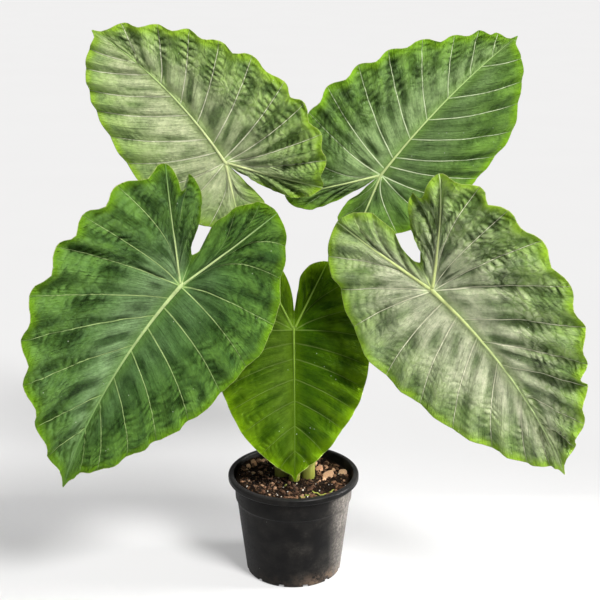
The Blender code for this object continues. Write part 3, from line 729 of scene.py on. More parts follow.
def side_relief(blade, side, seed):
    """One side of the blade as grids: its place, both faces' heights, and facts for the materials."""
    at = places_among_veins(blade, side)
    relief, phase, envelope = vein_puckers(at, seed)
    relief = relief + midrib_puckers(blade, at, seed)
    relief = relief + bay_folds(at, seed)
    relief = relief + bay_bulges(at, seed)
    puckers = relief

    # Side veins lie in creases, and the sheet swells between them and is a little uneven all over.
    inside = smoothstep(*SWELL_FROM, at.row)
    crease = np.exp(-((at.away / CREASE_REACH) ** 2)) * inside * np.where(at.outer, 1.0, 0.5) * at.is_vein
    swell = np.sin(math.pi * at.aside) ** 1.5 * smoothstep(*SWELL_BAYS, at.spread) * inside
    relief = relief - CREASE * crease + SWELL * swell
    cover = relief_cover(at)
    wide, narrow = CRUMPLE_SIZES
    crumple = CRUMPLE * ripple(at.u, at.v, wide, seed + 5)
    crumple = crumple + 0.3 * CRUMPLE * ripple(at.u, at.v, narrow, seed + 6)
    relief = relief * cover + crumple * cover * (0.4 + 0.6 * at.quilt)

    # The veins themselves stand out a little above and more below.
    half = vein_half_width(at.vein_run, at.vein_length, at.outer)
    ridge = np.exp(-((at.away / (1.1 * half)) ** 2)) * at.is_vein * cover
    fade = 1 - 0.6 * np.clip(at.vein_run / at.vein_length, 0, 1)
    under_ridge = np.exp(-((at.away / (1.8 * half)) ** 2)) * at.is_vein * cover * fade
    thin = BLADE_THICKNESS * (1 - EDGE_THINNING * smoothstep(*EDGE_FROM, at.row))
    middle = at.height + relief
    under = middle - thin - np.where(at.outer, VEIN_BELOW, SMALL_VEIN_BELOW) * under_ridge
    strength = np.where(at.outer, 1.0, 0.55) * at.is_vein + 0 * at.row
    lane = at.sign * at.columns + 0 * at.row
    facts = {
        "near": np.stack([at.away / half + 6 * (~at.is_vein), 1000 * at.edge, 1000 * at.rib_away], -1),
        "grain": np.stack([phase, envelope, smoothstep(*PATTERN_BAYS, at.spread)], -1),
        "form": np.stack([at.row, 1000 * puckers, strength], -1),
        "lane": np.stack([lane, at.run, at.run - PUCKER_SLANT * at.away], -1),
    }
    main = int(np.argmin(np.abs(at.columns - at.lobe)))
    lines = [np.stack([at.u[k], at.v[k], middle[k]], -1) for k in (main, -1)]
    return at.u, at.v, middle + VEIN_ABOVE * ridge, under, facts, lines


def lowest_near(height):
    """The lowest of each height and its neighbours along the columns, so a coarser face stays below."""
    padded = np.pad(height, ((0, 0), (1, 1)), mode="edge")
    return np.minimum(np.minimum(padded[:, :-2], padded[:, 2:]), height)


def make_blade(name, blade, seed):
    """The blade as one closed sheet, coarser on its under face, its lobes' main veins and their seam."""
    origin, along, right, facing = blade_axes(blade)
    points, faces, slots = [], [], []
    facts = {"near": [], "grain": [], "form": [], "lane": []}
    rims = []
    sides = [side_relief(blade, side, seed + 20 * number) for number, side in enumerate(("right", "left"))]
    count = 0
    for under, every in ((False, 1), (True, 2)):
        lines = []
        for number, (u, v, top, bottom, told, _) in enumerate(sides):
            height = (lowest_near(bottom) if under else top)[:, ::every]
            u, v = u[:, ::every], v[:, ::every]
            flat = origin + u[..., None] * along + v[..., None] * right + height[..., None] * facing
            points.append(flat.reshape(-1, 3))
            for key, values in told.items():
                facts[key].append(values[:, ::every].reshape(-1, 3))
            made = grid_faces(*u.shape, first=count, flip=(number == 1) != under)
            faces += made
            index = count + np.arange(u.size).reshape(u.shape)
            lines.append((index[:, 0], u[:, 0], index[:, -1]))
            count += u.size
            slots += [int(under)] * len(made)
        strip = zipped(*lines)
        faces += strip
        slots += [int(under)] * len(strip)
        rims.append((lines[0][2], lines[1][2]))
    for upper, lower in zip(*rims):
        for k in range(len(lower) - 1):
            faces.append((upper[k], upper[k + 1], lower[k + 1], lower[k]))
            slots.append(0)
    costae = [sides[0][5][0], sides[1][5][0], sides[0][5][1]]
    faces = [tuple(int(index) for index in face) for face in faces]
    told = {key: np.concatenate(values) for key, values in facts.items()}
    obj = new_piece(f"leaf_{name}", np.concatenate(points), faces,
                    [leaf_material(name), under_material()], slots, told)
    tidy_mesh(obj)
    return obj, costae


def zipped(one, two):
    """Triangles that fill the strip along the midrib between the two sides' first points."""
    faces = []
    first, first_u, _ = one
    second, second_u, _ = two
    i = j = 0
    while i < len(first) - 1 or j < len(second) - 1:
        step_first = j == len(second) - 1 or (i < len(first) - 1 and first_u[i + 1] > second_u[j + 1])
        if step_first:
            faces.append((first[i], second[j], first[i + 1]))
            i += 1
        else:
            faces.append((first[i], second[j], second[j + 1]))
            j += 1
    return faces


def tidy_mesh(obj):
    """Joins doubled points and makes all faces look outwards."""
    work = bmesh.new()
    work.from_mesh(obj.data)
    bmesh.ops.remove_doubles(work, verts=work.verts, dist=0.000004)
    bmesh.ops.dissolve_degenerate(work, edges=work.edges, dist=0.000002)
    bmesh.ops.recalc_face_normals(work, faces=work.faces)
    work.to_mesh(obj.data)
    work.free()


def rib(blade, line, half_widths, above, below):
    """Points and faces of a rib along a line (u, v, height) over the blade's plane, rounded all round."""
    origin, along, right, facing = blade_axes(blade)
    slope = np.gradient(line[:, :2], axis=0)
    slope /= np.linalg.norm(slope, axis=1)[:, None]
    cross = np.stack([-slope[:, 1], slope[:, 0]], -1)
    angles = np.linspace(0, math.tau, RIB_SIDES, endpoint=False)
    lift = np.sin(angles) * np.where(np.sin(angles) > 0, above, below)
    flat = line[:, None, :2] + half_widths[:, None, None] * np.cos(angles)[None, :, None] * cross[:, None]
    height = line[:, None, 2] + half_widths[:, None] * lift[None]
    points = origin + flat[..., :1] * along + flat[..., 1:] * right + height[..., None] * facing
    faces = closed_tube(len(line), RIB_SIDES)
    part = np.repeat(np.linspace(0, 1, len(line)), RIB_SIDES)
    return points.reshape(-1, 3), faces, part


def make_ribs(name, blade, costae):
    """The midrib, the main vein of each lobe and the seam between them, thick at the stalk, thinning away."""
    reach = blade["tip"][1] / 1000
    u = np.linspace(RIB_START, RIB_END * reach, RIB_RINGS)
    part = np.clip(u / reach, 0, 1)
    half = blade["rib"] * MIDRIB_HALF_WIDTH * (1 - RIB_THINNING * part ** 0.6)
    half *= 1 - 0.7 * smoothstep(0.84, RIB_END, part)
    half *= np.sqrt(np.clip((u + 0.0061) / 0.006, 0.02, 1))
    v = midrib_side(blade, u)
    made = [rib(blade, np.stack([u, v, blade_bend(u, v) + RIB_LIFT], -1), half, 0.55, 0.95)]
    for number, costa in enumerate(costae):
        line = costa[: int(LOBE_RIB_END * len(costa))]
        part = np.linspace(0, 1, len(line))
        width = (LOBE_RIB if number < 2 else SEAM_RIB) * blade["lobe_rib"]
        half = width * (1 - LOBE_RIB_THINNING * part ** 1.3)
        made.append(rib(blade, line + (0, 0, RIB_LIFT), half, 0.60, 1.3))
    points, faces, parts = [], [], []
    for some, some_faces, some_parts in made:
        first = sum(len(p) for p in points)
        points.append(some)
        parts.append(some_parts)
        faces += [tuple(index + first for index in face) for face in some_faces]
    obj = new_piece(f"ribs_{name}", np.concatenate(points), faces, [rib_material(name)],
                    facts={"part": np.concatenate(parts)})
    tidy_mesh(obj)
    return obj


# Stalks

def make_stalk(name):
    """The stalk, with a sheath round its foot, a groove along its inner side and faint lengthwise ridges."""
    stalk = STALKS[name]
    origin, _, _, facing = blade_axes(BLADES[name])
    start = np.array([*stalk["foot"], SOIL_TOP + STALK_COLLAR])
    end = origin - (CAD_THICKNESS / 2 + GAP) * facing
    rise = start + np.array(stalk["rise"])
    knee = end - stalk["knee"] * unit(stalk["arrival"])
    upright = np.array([0.0, 0.0, 1.0])
    angles = np.linspace(0, math.tau, STALK_SIDES, endpoint=False)
    points, runs = [], []

    def ring(centre, heading, radius, run, flat=None):
        across = unit(np.array([1.0, 0.0, 0.0]) - heading[0] * heading)
        other = np.cross(heading, across)
        groove = GROOVE_DEPTH * np.exp(-(((angles - 1.5 * math.pi) / GROOVE_WIDTH) ** 2))
        ridges = 1 + RIDGE_DEPTH * np.cos(RIDGE_COUNT * angles) - groove
        for angle, ridge in zip(angles, ridges):
            point = centre + radius * ridge * (math.cos(angle) * across + math.sin(angle) * other)
            if flat is not None:
                point = point + heading * ((centre - point) @ flat) / (heading @ flat)
            points.append(point)
            runs.append((run, radius, angle))

    ring(np.array([*stalk["foot"], SOIL_TOP - HOLE_DEPTH]), upright, stalk["radius"], 0.0)
    for k in range(STALK_RINGS):
        t = k / (STALK_RINGS - 1)
        centre = (1 - t) ** 3 * start + 3 * t * (1 - t) ** 2 * rise
        centre = centre + 3 * t * t * (1 - t) * knee + t ** 3 * end
        slope = (1 - t) ** 2 * (rise - start) + 2 * t * (1 - t) * (knee - rise) + t * t * (end - knee)
        heading = upright if k == 0 else unit(slope)
        radius = STALK_WAIST_RADIUS + (STALK_TOP_RADIUS - STALK_WAIST_RADIUS) * t
        radius += (stalk["radius"] - STALK_WAIST_RADIUS) * math.exp(-((t / SHEATH_SHARE) ** 2))
        ring(centre, heading, radius, t, facing if k == STALK_RINGS - 1 else None)
    faces = closed_tube(STALK_RINGS + 1, STALK_SIDES)
    obj = new_piece(f"stem_{name}", points, faces, [stalk_material()], facts={"stem": runs})
    tidy_mesh(obj)
    return obj


# Pot

def arc(centre, radius, first, last, steps):
    """Points of an arc in the section, its angles in degrees from outwards to up."""
    angles = [math.radians(first + (last - first) * k / steps) for k in range(steps + 1)]
    return [(centre[0] + radius * math.cos(a), centre[1] + radius * math.sin(a)) for a in angles]


def between(a, b, steps):
    """Points that split a straight stretch of the section, without its last one."""
    return [(a[0] + (b[0] - a[0]) * k / steps, a[1] + (b[1] - a[1]) * k / steps) for k in range(steps)]


def pot_profile():
    """The pot's section from the axis under the floor, out, up, over the rolled lip and back down inside."""
    low = POT_HEIGHT - LIP_DROP
    middle = LIP_RADIUS - LIP_ROUND
    inner_round = LIP_ROUND / 2
    foot = arc((BASE_RADIUS - FOOT_ROUND, FOOT_ROUND), FOOT_ROUND, -90, -4, 6)
    outside = [(0.0, 0.0)] + foot
    outside += between(foot[-1], (STEP_RADIUS, STEP_HEIGHT), 24)[1:]
    outside += [
        (STEP_RADIUS, STEP_HEIGHT),
        (STEP_RADIUS + 0.25 * STEP_OUT, STEP_HEIGHT + 0.15 * STEP_RISE),
        (STEP_RADIUS + 0.75 * STEP_OUT, STEP_HEIGHT + 0.6 * STEP_RISE),
        (STEP_RADIUS + STEP_OUT, STEP_HEIGHT + STEP_RISE),
        (STEP_RADIUS + STEP_OUT + 0.0001, STEP_HEIGHT + 1.4 * STEP_RISE),
    ]
    outside += between(outside[-1], (COLLAR_RADIUS, low), 8)[1:]
    outside += [(COLLAR_RADIUS, low), (COLLAR_RADIUS + 0.0006, low + 0.0001)]
    lip = arc((middle, low + LIP_ROUND), LIP_ROUND, -90, 0, 8)
    lip += arc((middle, POT_HEIGHT - LIP_ROUND), LIP_ROUND, 0, 90, 8)
    lip += arc((LIP_RADIUS - LIP_WIDTH + inner_round, POT_HEIGHT - inner_round), inner_round, 90, 180, 5)
    inside = [
        (COLLAR_RADIUS - 0.75 * WALL, low),
        (STEP_RADIUS + STEP_OUT - WALL, STEP_HEIGHT + STEP_RISE),
        (STEP_RADIUS - WALL, STEP_HEIGHT),
        (BASE_RADIUS - WALL, FLOOR + FOOT_ROUND),
        (BASE_RADIUS - WALL - FOOT_CORNER, FLOOR),
        (0.0, FLOOR),
    ]
    return outside + lip + inside


def make_pot():
    """The pot as a fine turned shell, with the drainage slots cut through the corner of its foot."""
    work = bmesh.new()
    ends = [work.verts.new((radius, 0.0, height)) for radius, height in pot_profile()]
    edges = [work.edges.new(pair) for pair in zip(ends, ends[1:])]
    turn = {"cent": (0, 0, 0), "axis": (0, 0, 1), "angle": math.tau, "steps": POT_SEGMENTS}
    bmesh.ops.spin(work, geom=ends + edges, **turn)
    bmesh.ops.remove_doubles(work, verts=work.verts, dist=0.00001)
    bmesh.ops.recalc_face_normals(work, faces=work.faces)
    mesh = bpy.data.meshes.new("planter")
    work.to_mesh(mesh)
    work.free()
    mesh.materials.append(pot_material())
    pot = bpy.data.objects.new("planter", mesh)
    bpy.context.scene.collection.objects.link(pot)
    cutter = drain_cutters()
    modifier = pot.modifiers.new("drains", "BOOLEAN")
    modifier.operation = "DIFFERENCE"
    modifier.object = cutter
    modifier.solver = "EXACT"
    bpy.context.view_layer.update()
    cut = pot.evaluated_get(bpy.context.evaluated_depsgraph_get())
    mesh = bpy.data.meshes.new_from_object(cut)
    pot.modifiers.clear()
    pot.data = mesh
    bpy.data.objects.remove(cutter, do_unlink=True)
    mesh.shade_smooth()
    mesh.set_sharp_from_angle(angle=math.radians(POT_SHARP_ANGLE))
    return pot


def drain_cutters():
    """One rounded block for each drainage slot."""
    work = bmesh.new()
    middle = BASE_RADIUS - DRAIN_IN
    for index in range(DRAIN_COUNT):
        angle = math.tau * (index + 0.5) / DRAIN_COUNT
        made = bmesh.ops.create_cube(work, size=1.0)["verts"]
        bmesh.ops.scale(work, verts=made, vec=(DRAIN_DEPTH, DRAIN_WIDTH, 2 * DRAIN_HEIGHT))
        bmesh.ops.translate(work, verts=made, vec=(middle, 0, 0))
        turn = ((math.cos(angle), -math.sin(angle), 0), (math.sin(angle), math.cos(angle), 0), (0, 0, 1))
        for vertex in made:
            vertex.co = [sum(a * b for a, b in zip(row, vertex.co)) for row in turn]
    mesh = bpy.data.meshes.new("drain_cutters")
    work.to_mesh(mesh)
    work.free()
    cutter = bpy.data.objects.new("drain_cutters", mesh)
    bpy.context.scene.collection.objects.link(cutter)
    return cutter


# Soil

def bark_lumps():
    """Centre, radius and height of each lump of bark that stands out of the soil."""
    draw = np.random.default_rng(7)
    lumps = []
    for _ in range(BARK_LUMPS):
        angle = draw.uniform(0, math.tau)
        far = draw.uniform(*BARK_ZONE)
        size = draw.uniform(*BARK_SIZES)
        lumps.append((far * math.cos(angle), far * math.sin(angle), BARK_RADIUS * size, BARK_HEIGHT * size))
    return lumps


def soil_height(x, y):
    """The soil's surface: higher on the left, softly uneven, with the bark lumps on it."""
    height = SOIL_TOP - SOIL_TILT * x
    swell = np.sin(SOIL_WAVE * x + 1.0) * np.cos(1.3 * SOIL_WAVE * y)
    height = height + SOIL_BUMP * (swell + np.sin(0.7 * SOIL_WAVE * (y - x)))
    for lump_x, lump_y, radius, rise in bark_lumps():
        away = np.hypot(x - lump_x, y - lump_y) / radius
        height = height + rise * np.exp(-BARK_STEEPNESS * away * away)
    return height


def rough_soil(x, y):
    """The soil's surface with its crumbs, which lie within a millimetre of the plain one."""
    (high, wide), (low, narrow) = SOIL_ROUGHNESS
    crumb = high * ripple(x, y, wide, 31, 14) + low * ripple(x, y, narrow, 32, 14)
    return soil_height(x, y) + crumb


def make_soil():
    """The soil as one closed body that fills the pot, fine on top."""
    side = (
        (BASE_RADIUS - WALL - FOOT_CORNER - 2 * GAP, FLOOR + GAP),
        (BASE_RADIUS - WALL - 2 * GAP, FLOOR + FOOT_ROUND),
        (STEP_RADIUS - WALL - 2 * GAP, STEP_HEIGHT + GAP),
        (STEP_RADIUS + STEP_OUT - WALL - 2 * GAP, STEP_HEIGHT + STEP_RISE + GAP),
    )
    edge = COLLAR_RADIUS - WALL - 2 * GAP
    angles = np.linspace(0, math.tau, SOIL_SEGMENTS, endpoint=False)
    rings = []
    for radius, height in side:
        rings.append(np.stack([radius * np.cos(angles), radius * np.sin(angles), 0 * angles + height], -1))
    for ring in range(SOIL_RINGS, 0, -1):
        radius = edge * ring / SOIL_RINGS
        x, y = radius * np.cos(angles), radius * np.sin(angles)
        rings.append(np.stack([x, y, rough_soil(x, y)], -1))
    points = list(np.concatenate(rings)) + [(0, 0, FLOOR + GAP), (0, 0, float(rough_soil(0.0, 0.0)))]
    count = len(rings)
    faces = grid_faces(count, SOIL_SEGMENTS, closed=True)
    bottom, top = count * SOIL_SEGMENTS, count * SOIL_SEGMENTS + 1
    for k in range(SOIL_SEGMENTS):
        after = (k + 1) % SOIL_SEGMENTS
        faces.append((bottom, after, k))
        inner = (count - 1) * SOIL_SEGMENTS
        faces.append((inner + k, inner + after, top))
    obj = new_piece("potting_soil", points, faces, [soil_material()])
    tidy_mesh(obj)
    return obj


def clear_of_stalks(x, y, room):
    """Whether a place on the soil has that much room to every stalk."""
    for stalk in STALKS.values():
        if math.hypot(x - stalk["foot"][0], y - stalk["foot"][1]) < stalk["radius"] + room:
            return False
    return True


def scatter(count, inner, outer, seed, room):
    """Seeded places on the soil, clear of the stalks."""
    draw = np.random.default_rng(seed)
    places = []
    while len(places) < count:
        far = math.sqrt(draw.uniform(inner ** 2, outer ** 2))
        angle = draw.uniform(0, math.tau)
        x, y = far * math.cos(angle), far * math.sin(angle)
        if clear_of_stalks(x, y, room):
            places.append((x, y))
    return places


def chunk(level, seed, roughness):
    """Points and faces of a rough lump of unit size."""
    work = bmesh.new()
    bmesh.ops.create_icosphere(work, subdivisions=level, radius=1.0)
    draw = np.random.default_rng(seed)
    points = []
    for vertex in work.verts:
        points.append(np.array(vertex.co) * (1 + roughness * draw.uniform(-1, 1)))
    faces = [tuple(v.index for v in face.verts) for face in work.faces]
    work.free()
    return np.array(points), faces


def pile(name, places, sizes, made, level, roughness, seed, sunk=0.3, boxy=0.0, lean=0.0):
    """Many rough lumps as one piece, each set into the soil where it lies, with a tone of its own."""
    draw = np.random.default_rng(seed)
    kinds = [chunk(level, seed + k, roughness) for k in range(LUMP_KINDS)]
    points, faces, tones = [], [], []
    for (x, y), size in zip(places, sizes):
        shape, shape_faces = kinds[draw.integers(len(kinds))]
        if boxy:
            shape = np.sign(shape) * np.abs(shape) ** (1 - boxy)
        turn = draw.uniform(0, math.tau)
        tip_x, tip_y = draw.uniform(-0.35, 0.35, 2) + (0, lean)
        size = np.asarray(size, float)
        lump = shape * size
        c, s = math.cos(turn), math.sin(turn)
        lump = np.stack([c * lump[:, 0] - s * lump[:, 1], s * lump[:, 0] + c * lump[:, 1], lump[:, 2]], -1)
        lump[:, 2] += tip_x * lump[:, 0] + tip_y * lump[:, 1]
        rest = float(soil_height(x, y)) + size[2] * (1 - 2 * sunk)
        first = len(points)
        points += list(lump + (x, y, rest))
        faces += [tuple(index + first for index in face) for face in shape_faces]
        tones += [draw.uniform(0, 1)] * len(lump)
    return new_piece(name, points, faces, [made], facts={"tone": tones})


def make_bits():
    """What lies on the soil: crumbs, bark chips, perlite and a few green scraps."""
    draw = np.random.default_rng(51)
    crumbs = scatter(CRUMB_COUNT, 0.0, 0.085, seed=52, room=0.0005)
    sizes = [draw.uniform(0.0008, 0.0024) * np.array([1, draw.uniform(0.6, 1), draw.uniform(0.5, 0.9)])
             for _ in crumbs]
    made = [pile("soil_crumbs", crumbs, sizes, crumb_material(), level=1, roughness=0.25, seed=53)]

    chips = scatter(CHIP_COUNT, 0.015, 0.083, seed=54, room=0.004)
    sizes = [draw.uniform(0.0022, 0.0052) * np.array([1, draw.uniform(0.45, 0.8), draw.uniform(0.22, 0.4)])
             for _ in chips]
    made.append(pile("bark_chips", chips, sizes, bark_material(False), level=2, roughness=0.16, seed=55,
                     boxy=0.35))

    pale, sizes = zip(*PALE_BARK)
    made.append(pile("pale_bark", pale, sizes, bark_material(True), level=3, roughness=0.07, seed=56,
                     boxy=0.35, lean=0.45))

    perlite = scatter(PERLITE_COUNT, 0.01, 0.084, seed=57, room=0.002)
    sizes = [draw.uniform(0.0007, 0.0016) * np.array([1, 0.9, 0.85]) for _ in perlite]
    made.append(pile("perlite", perlite, sizes, perlite_material(), level=2, roughness=0.14, seed=58,
                     sunk=0.25))
    made.append(make_scraps())
    return made


def make_scraps():
    """Thin curled scraps of old leaf at the front right."""
    draw = np.random.default_rng(61)
    points, faces = [], []
    for x, y, turn, length in SCRAPS:
        bend = draw.uniform(-0.6, 0.6)
        first = len(points)
        for k in range(SCRAP_STEPS):
            part = k / (SCRAP_STEPS - 1) - 0.5
            angle = turn + bend * part
            px = x + length * part * math.cos(angle)
            py = y + length * part * math.sin(angle)
            half = SCRAP_HALF_WIDTH * (1 - (2 * part) ** 4) + 0.0001
            centre = np.array([px, py, float(soil_height(px, py)) + 0.0013 + 0.0006 * math.sin(9 * part)])
            aside = np.array([-math.sin(angle), math.cos(angle), 0.2])
            upwards = np.array([0.0, 0.0, 0.35])
            for j in range(SCRAP_SIDES):
                around = math.tau * j / SCRAP_SIDES
                points.append(centre + half * (math.cos(around) * aside + math.sin(around) * upwards))
        faces += closed_tube(SCRAP_STEPS, SCRAP_SIDES, first)
    return new_piece("leaf_scraps", points, faces, [scrap_material()])


# Materials

class Sketch:
    """A material's nodes, built from short calls that take numbers, colours or sockets."""

    def __init__(self, name):
        self.material = bpy.data.materials.new(name)
        self.material.use_nodes = True
        self.tree = self.material.node_tree
        self.shader = self.tree.nodes["Principled BSDF"]
        self.output = self.tree.nodes["Material Output"]
        self.place = self.node("ShaderNodeTexCoord").outputs["Object"]

    def node(self, kind, **settings):
        made = self.tree.nodes.new(kind)
        for key, value in settings.items():
            setattr(made, key, value)
        return made

    def put(self, socket, value):
        if isinstance(value, bpy.types.NodeSocket):
            self.tree.links.new(value, socket)
        elif isinstance(value, (tuple, list)) and len(socket.default_value) == 4:
            socket.default_value = (*value[:3], 1.0)
        else:
            socket.default_value = value

    def maths(self, operation, *values, clamp=False):
        made = self.node("ShaderNodeMath", operation=operation, use_clamp=clamp)
        for socket, value in zip(made.inputs, values):
            self.put(socket, value)
        return made.outputs[0]

    def times(self, product, *others):
        """The product of numbers or sockets."""
        for other in others:
            product = self.maths("MULTIPLY", product, other)
        return product

    def step(self, value, low, high, start=0.0, stop=1.0):
        """Runs smoothly from start to stop while value goes from low to high."""
        made = self.node("ShaderNodeMapRange", interpolation_type="SMOOTHSTEP")
        for socket, given in zip(made.inputs, (value, low, high, start, stop)):
            self.put(socket, given)
        return made.outputs[0]

    def blend(self, share, one, two):
        """Colour one, with a share of colour two over it."""
        made = self.node("ShaderNodeMix", data_type="RGBA")
        self.put(made.inputs["Factor"], share)
        self.put(made.inputs[6], one)
        self.put(made.inputs[7], two)
        return made.outputs[2]

    def noise(self, scale, detail=3.0, roughness=0.55, where=None):
        made = self.node("ShaderNodeTexNoise")
        self.put(made.inputs["Vector"], where or self.place)
        self.put(made.inputs["Scale"], scale)
        self.put(made.inputs["Detail"], detail)
        self.put(made.inputs["Roughness"], roughness)
        return made.outputs["Fac"]

    def cells(self, scale, feature="F1", where=None):
        made = self.node("ShaderNodeTexVoronoi", feature=feature)
        self.put(made.inputs["Vector"], where or self.place)
        self.put(made.inputs["Scale"], scale)
        return made.outputs["Distance"]

    def joined(self, *coordinates):
        """A place in a pattern, from two or three coordinates."""
        made = self.node("ShaderNodeCombineXYZ")
        for socket, value in zip(made.inputs, coordinates):
            self.put(socket, value)
        return made.outputs[0]

    def fact(self, name, output="Vector"):
        """What the mesh tells the material at each point."""
        return self.node("ShaderNodeAttribute", attribute_name=name).outputs[output]

    def split(self, vector):
        made = self.node("ShaderNodeSeparateXYZ")
        self.put(made.inputs[0], vector)
        return made.outputs[:]

    def ramp(self, value, *stops):
        made = self.node("ShaderNodeValToRGB")
        bar = made.color_ramp
        while len(bar.elements) < len(stops):
            bar.elements.new(1.0)
        for element, (place, colour) in zip(bar.elements, stops):
            element.position = place
            element.color = (*colour, 1.0)
        self.put(made.inputs[0], value)
        return made.outputs[0]

    def bump(self, height, distance, strength=1.0, after=None):
        made = self.node("ShaderNodeBump")
        self.put(made.inputs["Height"], height)
        self.put(made.inputs["Distance"], distance)
        self.put(made.inputs["Strength"], strength)
        if after is not None:
            self.put(made.inputs["Normal"], after)
        return made.outputs[0]

    def finish(self, colour, roughness, normal=None, specular=0.5):
        self.put(self.shader.inputs["Base Color"], colour)
        self.put(self.shader.inputs["Roughness"], roughness)
        self.shader.inputs["Specular IOR Level"].default_value = specular
        if normal is not None:
            self.put(self.shader.inputs["Normal"], normal)
        return self.material

    def let_light_through(self, colour, share):
        """Mixes in light from the far side, as a thin leaf lets it through."""
        through = self.node("ShaderNodeBsdfTranslucent")
        self.put(through.inputs["Color"], colour)
        mix = self.node("ShaderNodeMixShader")
        mix.inputs[0].default_value = share
        self.tree.links.new(self.shader.outputs[0], mix.inputs[1])
        self.tree.links.new(through.outputs[0], mix.inputs[2])
        self.tree.links.new(mix.outputs[0], self.output.inputs[0])


def leaf_material(name):
    """The upper face: green that yellows between the veins and at the edge, partly as painted light let
    through, with painted shade in the hollows, a painted sheen on what stands up, and pale veins and rim.
    """
    look = BLADE_LOOKS[name]
    s = Sketch(f"leaf_{name}")
    vein, edge, rib_away = s.split(s.fact("near"))
    phase, puckered, across = s.split(s.fact("grain"))
    row, relief, strength = s.split(s.fact("form"))
    lane, run, slanted = s.split(s.fact("lane"))
    quilt = BLADES[name]["quilt"]
    quilt = s.step(lane, -1.0, 1.0, quilt["left"], quilt["right"])

    # Patterns that run with the side veins: streaks, pleats, and the cells between the small veins
    streak = s.noise(1.0, 4.0, 0.6, s.joined(s.times(lane, 3.2), s.times(run, 22.0)))
    pleat = s.noise(1.0, 5.0, 0.66, s.joined(s.times(lane, 7.5), s.times(run, 12.0)))
    pleat = s.maths("ABSOLUTE", s.maths("SUBTRACT", pleat, 0.5))
    stir = s.times(s.noise(38.0, 2.0), 1.6)
    cell_place = [s.maths("ADD", s.times(lane, 3.1), stir), s.maths("ADD", s.times(slanted, 88.0), stir)]
    cell = s.cells(1.0, "DISTANCE_TO_EDGE", s.joined(*cell_place))
    outside = s.times(s.step(row, 0.26, 0.62), quilt, across)
    # The creases between the cells, for the painted shade below
    crease = s.times(s.step(cell, 0.15, 0.0), outside)
    cloud = s.noise(24.0, 4.0, 0.6)
    blotch = s.noise(70.0, 4.0, 0.62)
    mottle = s.noise(190.0, 4.0, 0.68)
    mixed = s.times(s.maths("ADD", streak, cloud), 0.5)

    # Green, darker by painted shade in the hollows and in the creases between the cells
    depth = s.maths("ADD", s.step(mixed, 0.32, 0.68, 0.50, 0.96), s.step(relief, -1.6, 1.2, -0.40, 0.14))
    depth = s.maths("SUBTRACT", depth, s.times(crease, 0.30))
    depth = s.maths("ADD", depth, s.step(mottle, 0.32, 0.68, -0.16, 0.16), clamp=True)
    colour = s.blend(depth, look["deep"], look["mid"])
    # Yellower in the middle of each bay, more where it stands up, and in a band at the edge: partly the
    # leaf's own colour, partly painted light let through
    middle = s.times(s.step(across, 0.40, 1.0), s.step(row, 0.15, 0.9, 0.12, 1.0),
                     s.step(mixed, 0.36, 0.60, 0.1, 1.0), s.step(relief, -1.6, 1.0, 0.3, 0.85))
    colour = s.blend(middle, colour, look["light"])
    band = s.times(s.step(edge, 19.0, 0.5), s.step(blotch, 0.25, 0.6, 0.35, 1.0),
                   s.step(across, 0.1, 0.9, 0.15, 1.0))
    colour = s.blend(band, colour, look["margin"])

    # Painted sheen: pale colour laid on what stands up, less in the creases and near the edge
    right_sheen, left_sheen, sheen_end = look["painted_sheen"]
    painted_sheen = s.step(lane, -1.0, 1.0, left_sheen, right_sheen)
    patchy = s.times(s.maths("ADD", s.noise(40.0, 5.0, 0.6), streak), 0.5)
    painted_sheen_mask = s.times(
        s.step(patchy, 0.34, 0.62, 0.55, 1.0),
        s.step(relief, -1.8, 0.6, 0.25, 1.0),
        s.maths("SUBTRACT", 1.0, s.times(crease, 0.65)),
        s.step(mottle, 0.32, 0.62, 0.70, 1.0),
        s.step(edge, 2.0, 16.0, 0.2, 1.0),
        s.step(row, sheen_end, 0.3 * sheen_end, 0.25, 1.0),
        painted_sheen,
    )
    colour = s.blend(painted_sheen_mask, colour, look["pale"])

    # Side veins with painted shade in the creases beside them, a lighter strip of painted sheen along the
    # midrib, and the rim
    colour = s.blend(s.times(s.step(vein, 4.5, 1.2), strength, 0.30), colour, look["deep"])
    drawn = s.times(s.step(vein, 1.6, 0.75), strength, s.step(row, 1.0, 0.82, 0.30, 1.0), look["veins"])
    colour = s.blend(drawn, colour, look["line"])
    colour = s.blend(s.step(rib_away, 18.0, 3.0, 0.0, 0.32), colour, look["light"])
    rim = s.times(s.step(edge, 0.9, 0.35), s.step(blotch, 0.3, 0.6, 0.25, 0.85))
    colour = s.blend(rim, colour, PALE_RIM)

    # Fine net of cells, pores and a few dried drops
    net = s.cells(520.0, "DISTANCE_TO_EDGE")
    colour = s.blend(s.step(net, 0.10, 0.0, 0.0, 0.16), colour, look["light"])
    drop = s.times(s.step(s.cells(130.0), 0.13, 0.08), s.step(s.noise(45.0, 1.0), 0.62, 0.66), 0.6)
    colour = s.blend(drop, colour, (0.62, 0.68, 0.52))

    # Folds between the small veins, the cells among them, pleats, and fine grain
    roughness = s.step(s.noise(120.0, 3.0), 0.3, 0.7, 0.38, 0.52)
    fold = s.maths("POWER", s.maths("ABSOLUTE", s.maths("SINE", s.times(phase, math.pi))), 0.8)
    normal = s.bump(s.times(fold, puckered, quilt), 0.0012)
    normal = s.bump(s.times(s.step(cell, 0.0, 0.42), outside), 0.0020, 1.0, normal)
    normal = s.bump(s.times(pleat, across), 0.0120, 1.0, normal)
    normal = s.bump(net, 0.00022, 0.55, normal)
    normal = s.bump(s.noise(900.0, 3.0), 0.00018, 0.5, normal)
    s.finish(colour, roughness, normal, look["gloss"])
    s.let_light_through(s.blend(0.5, colour, look["light"]), 0.07)
    return s.material


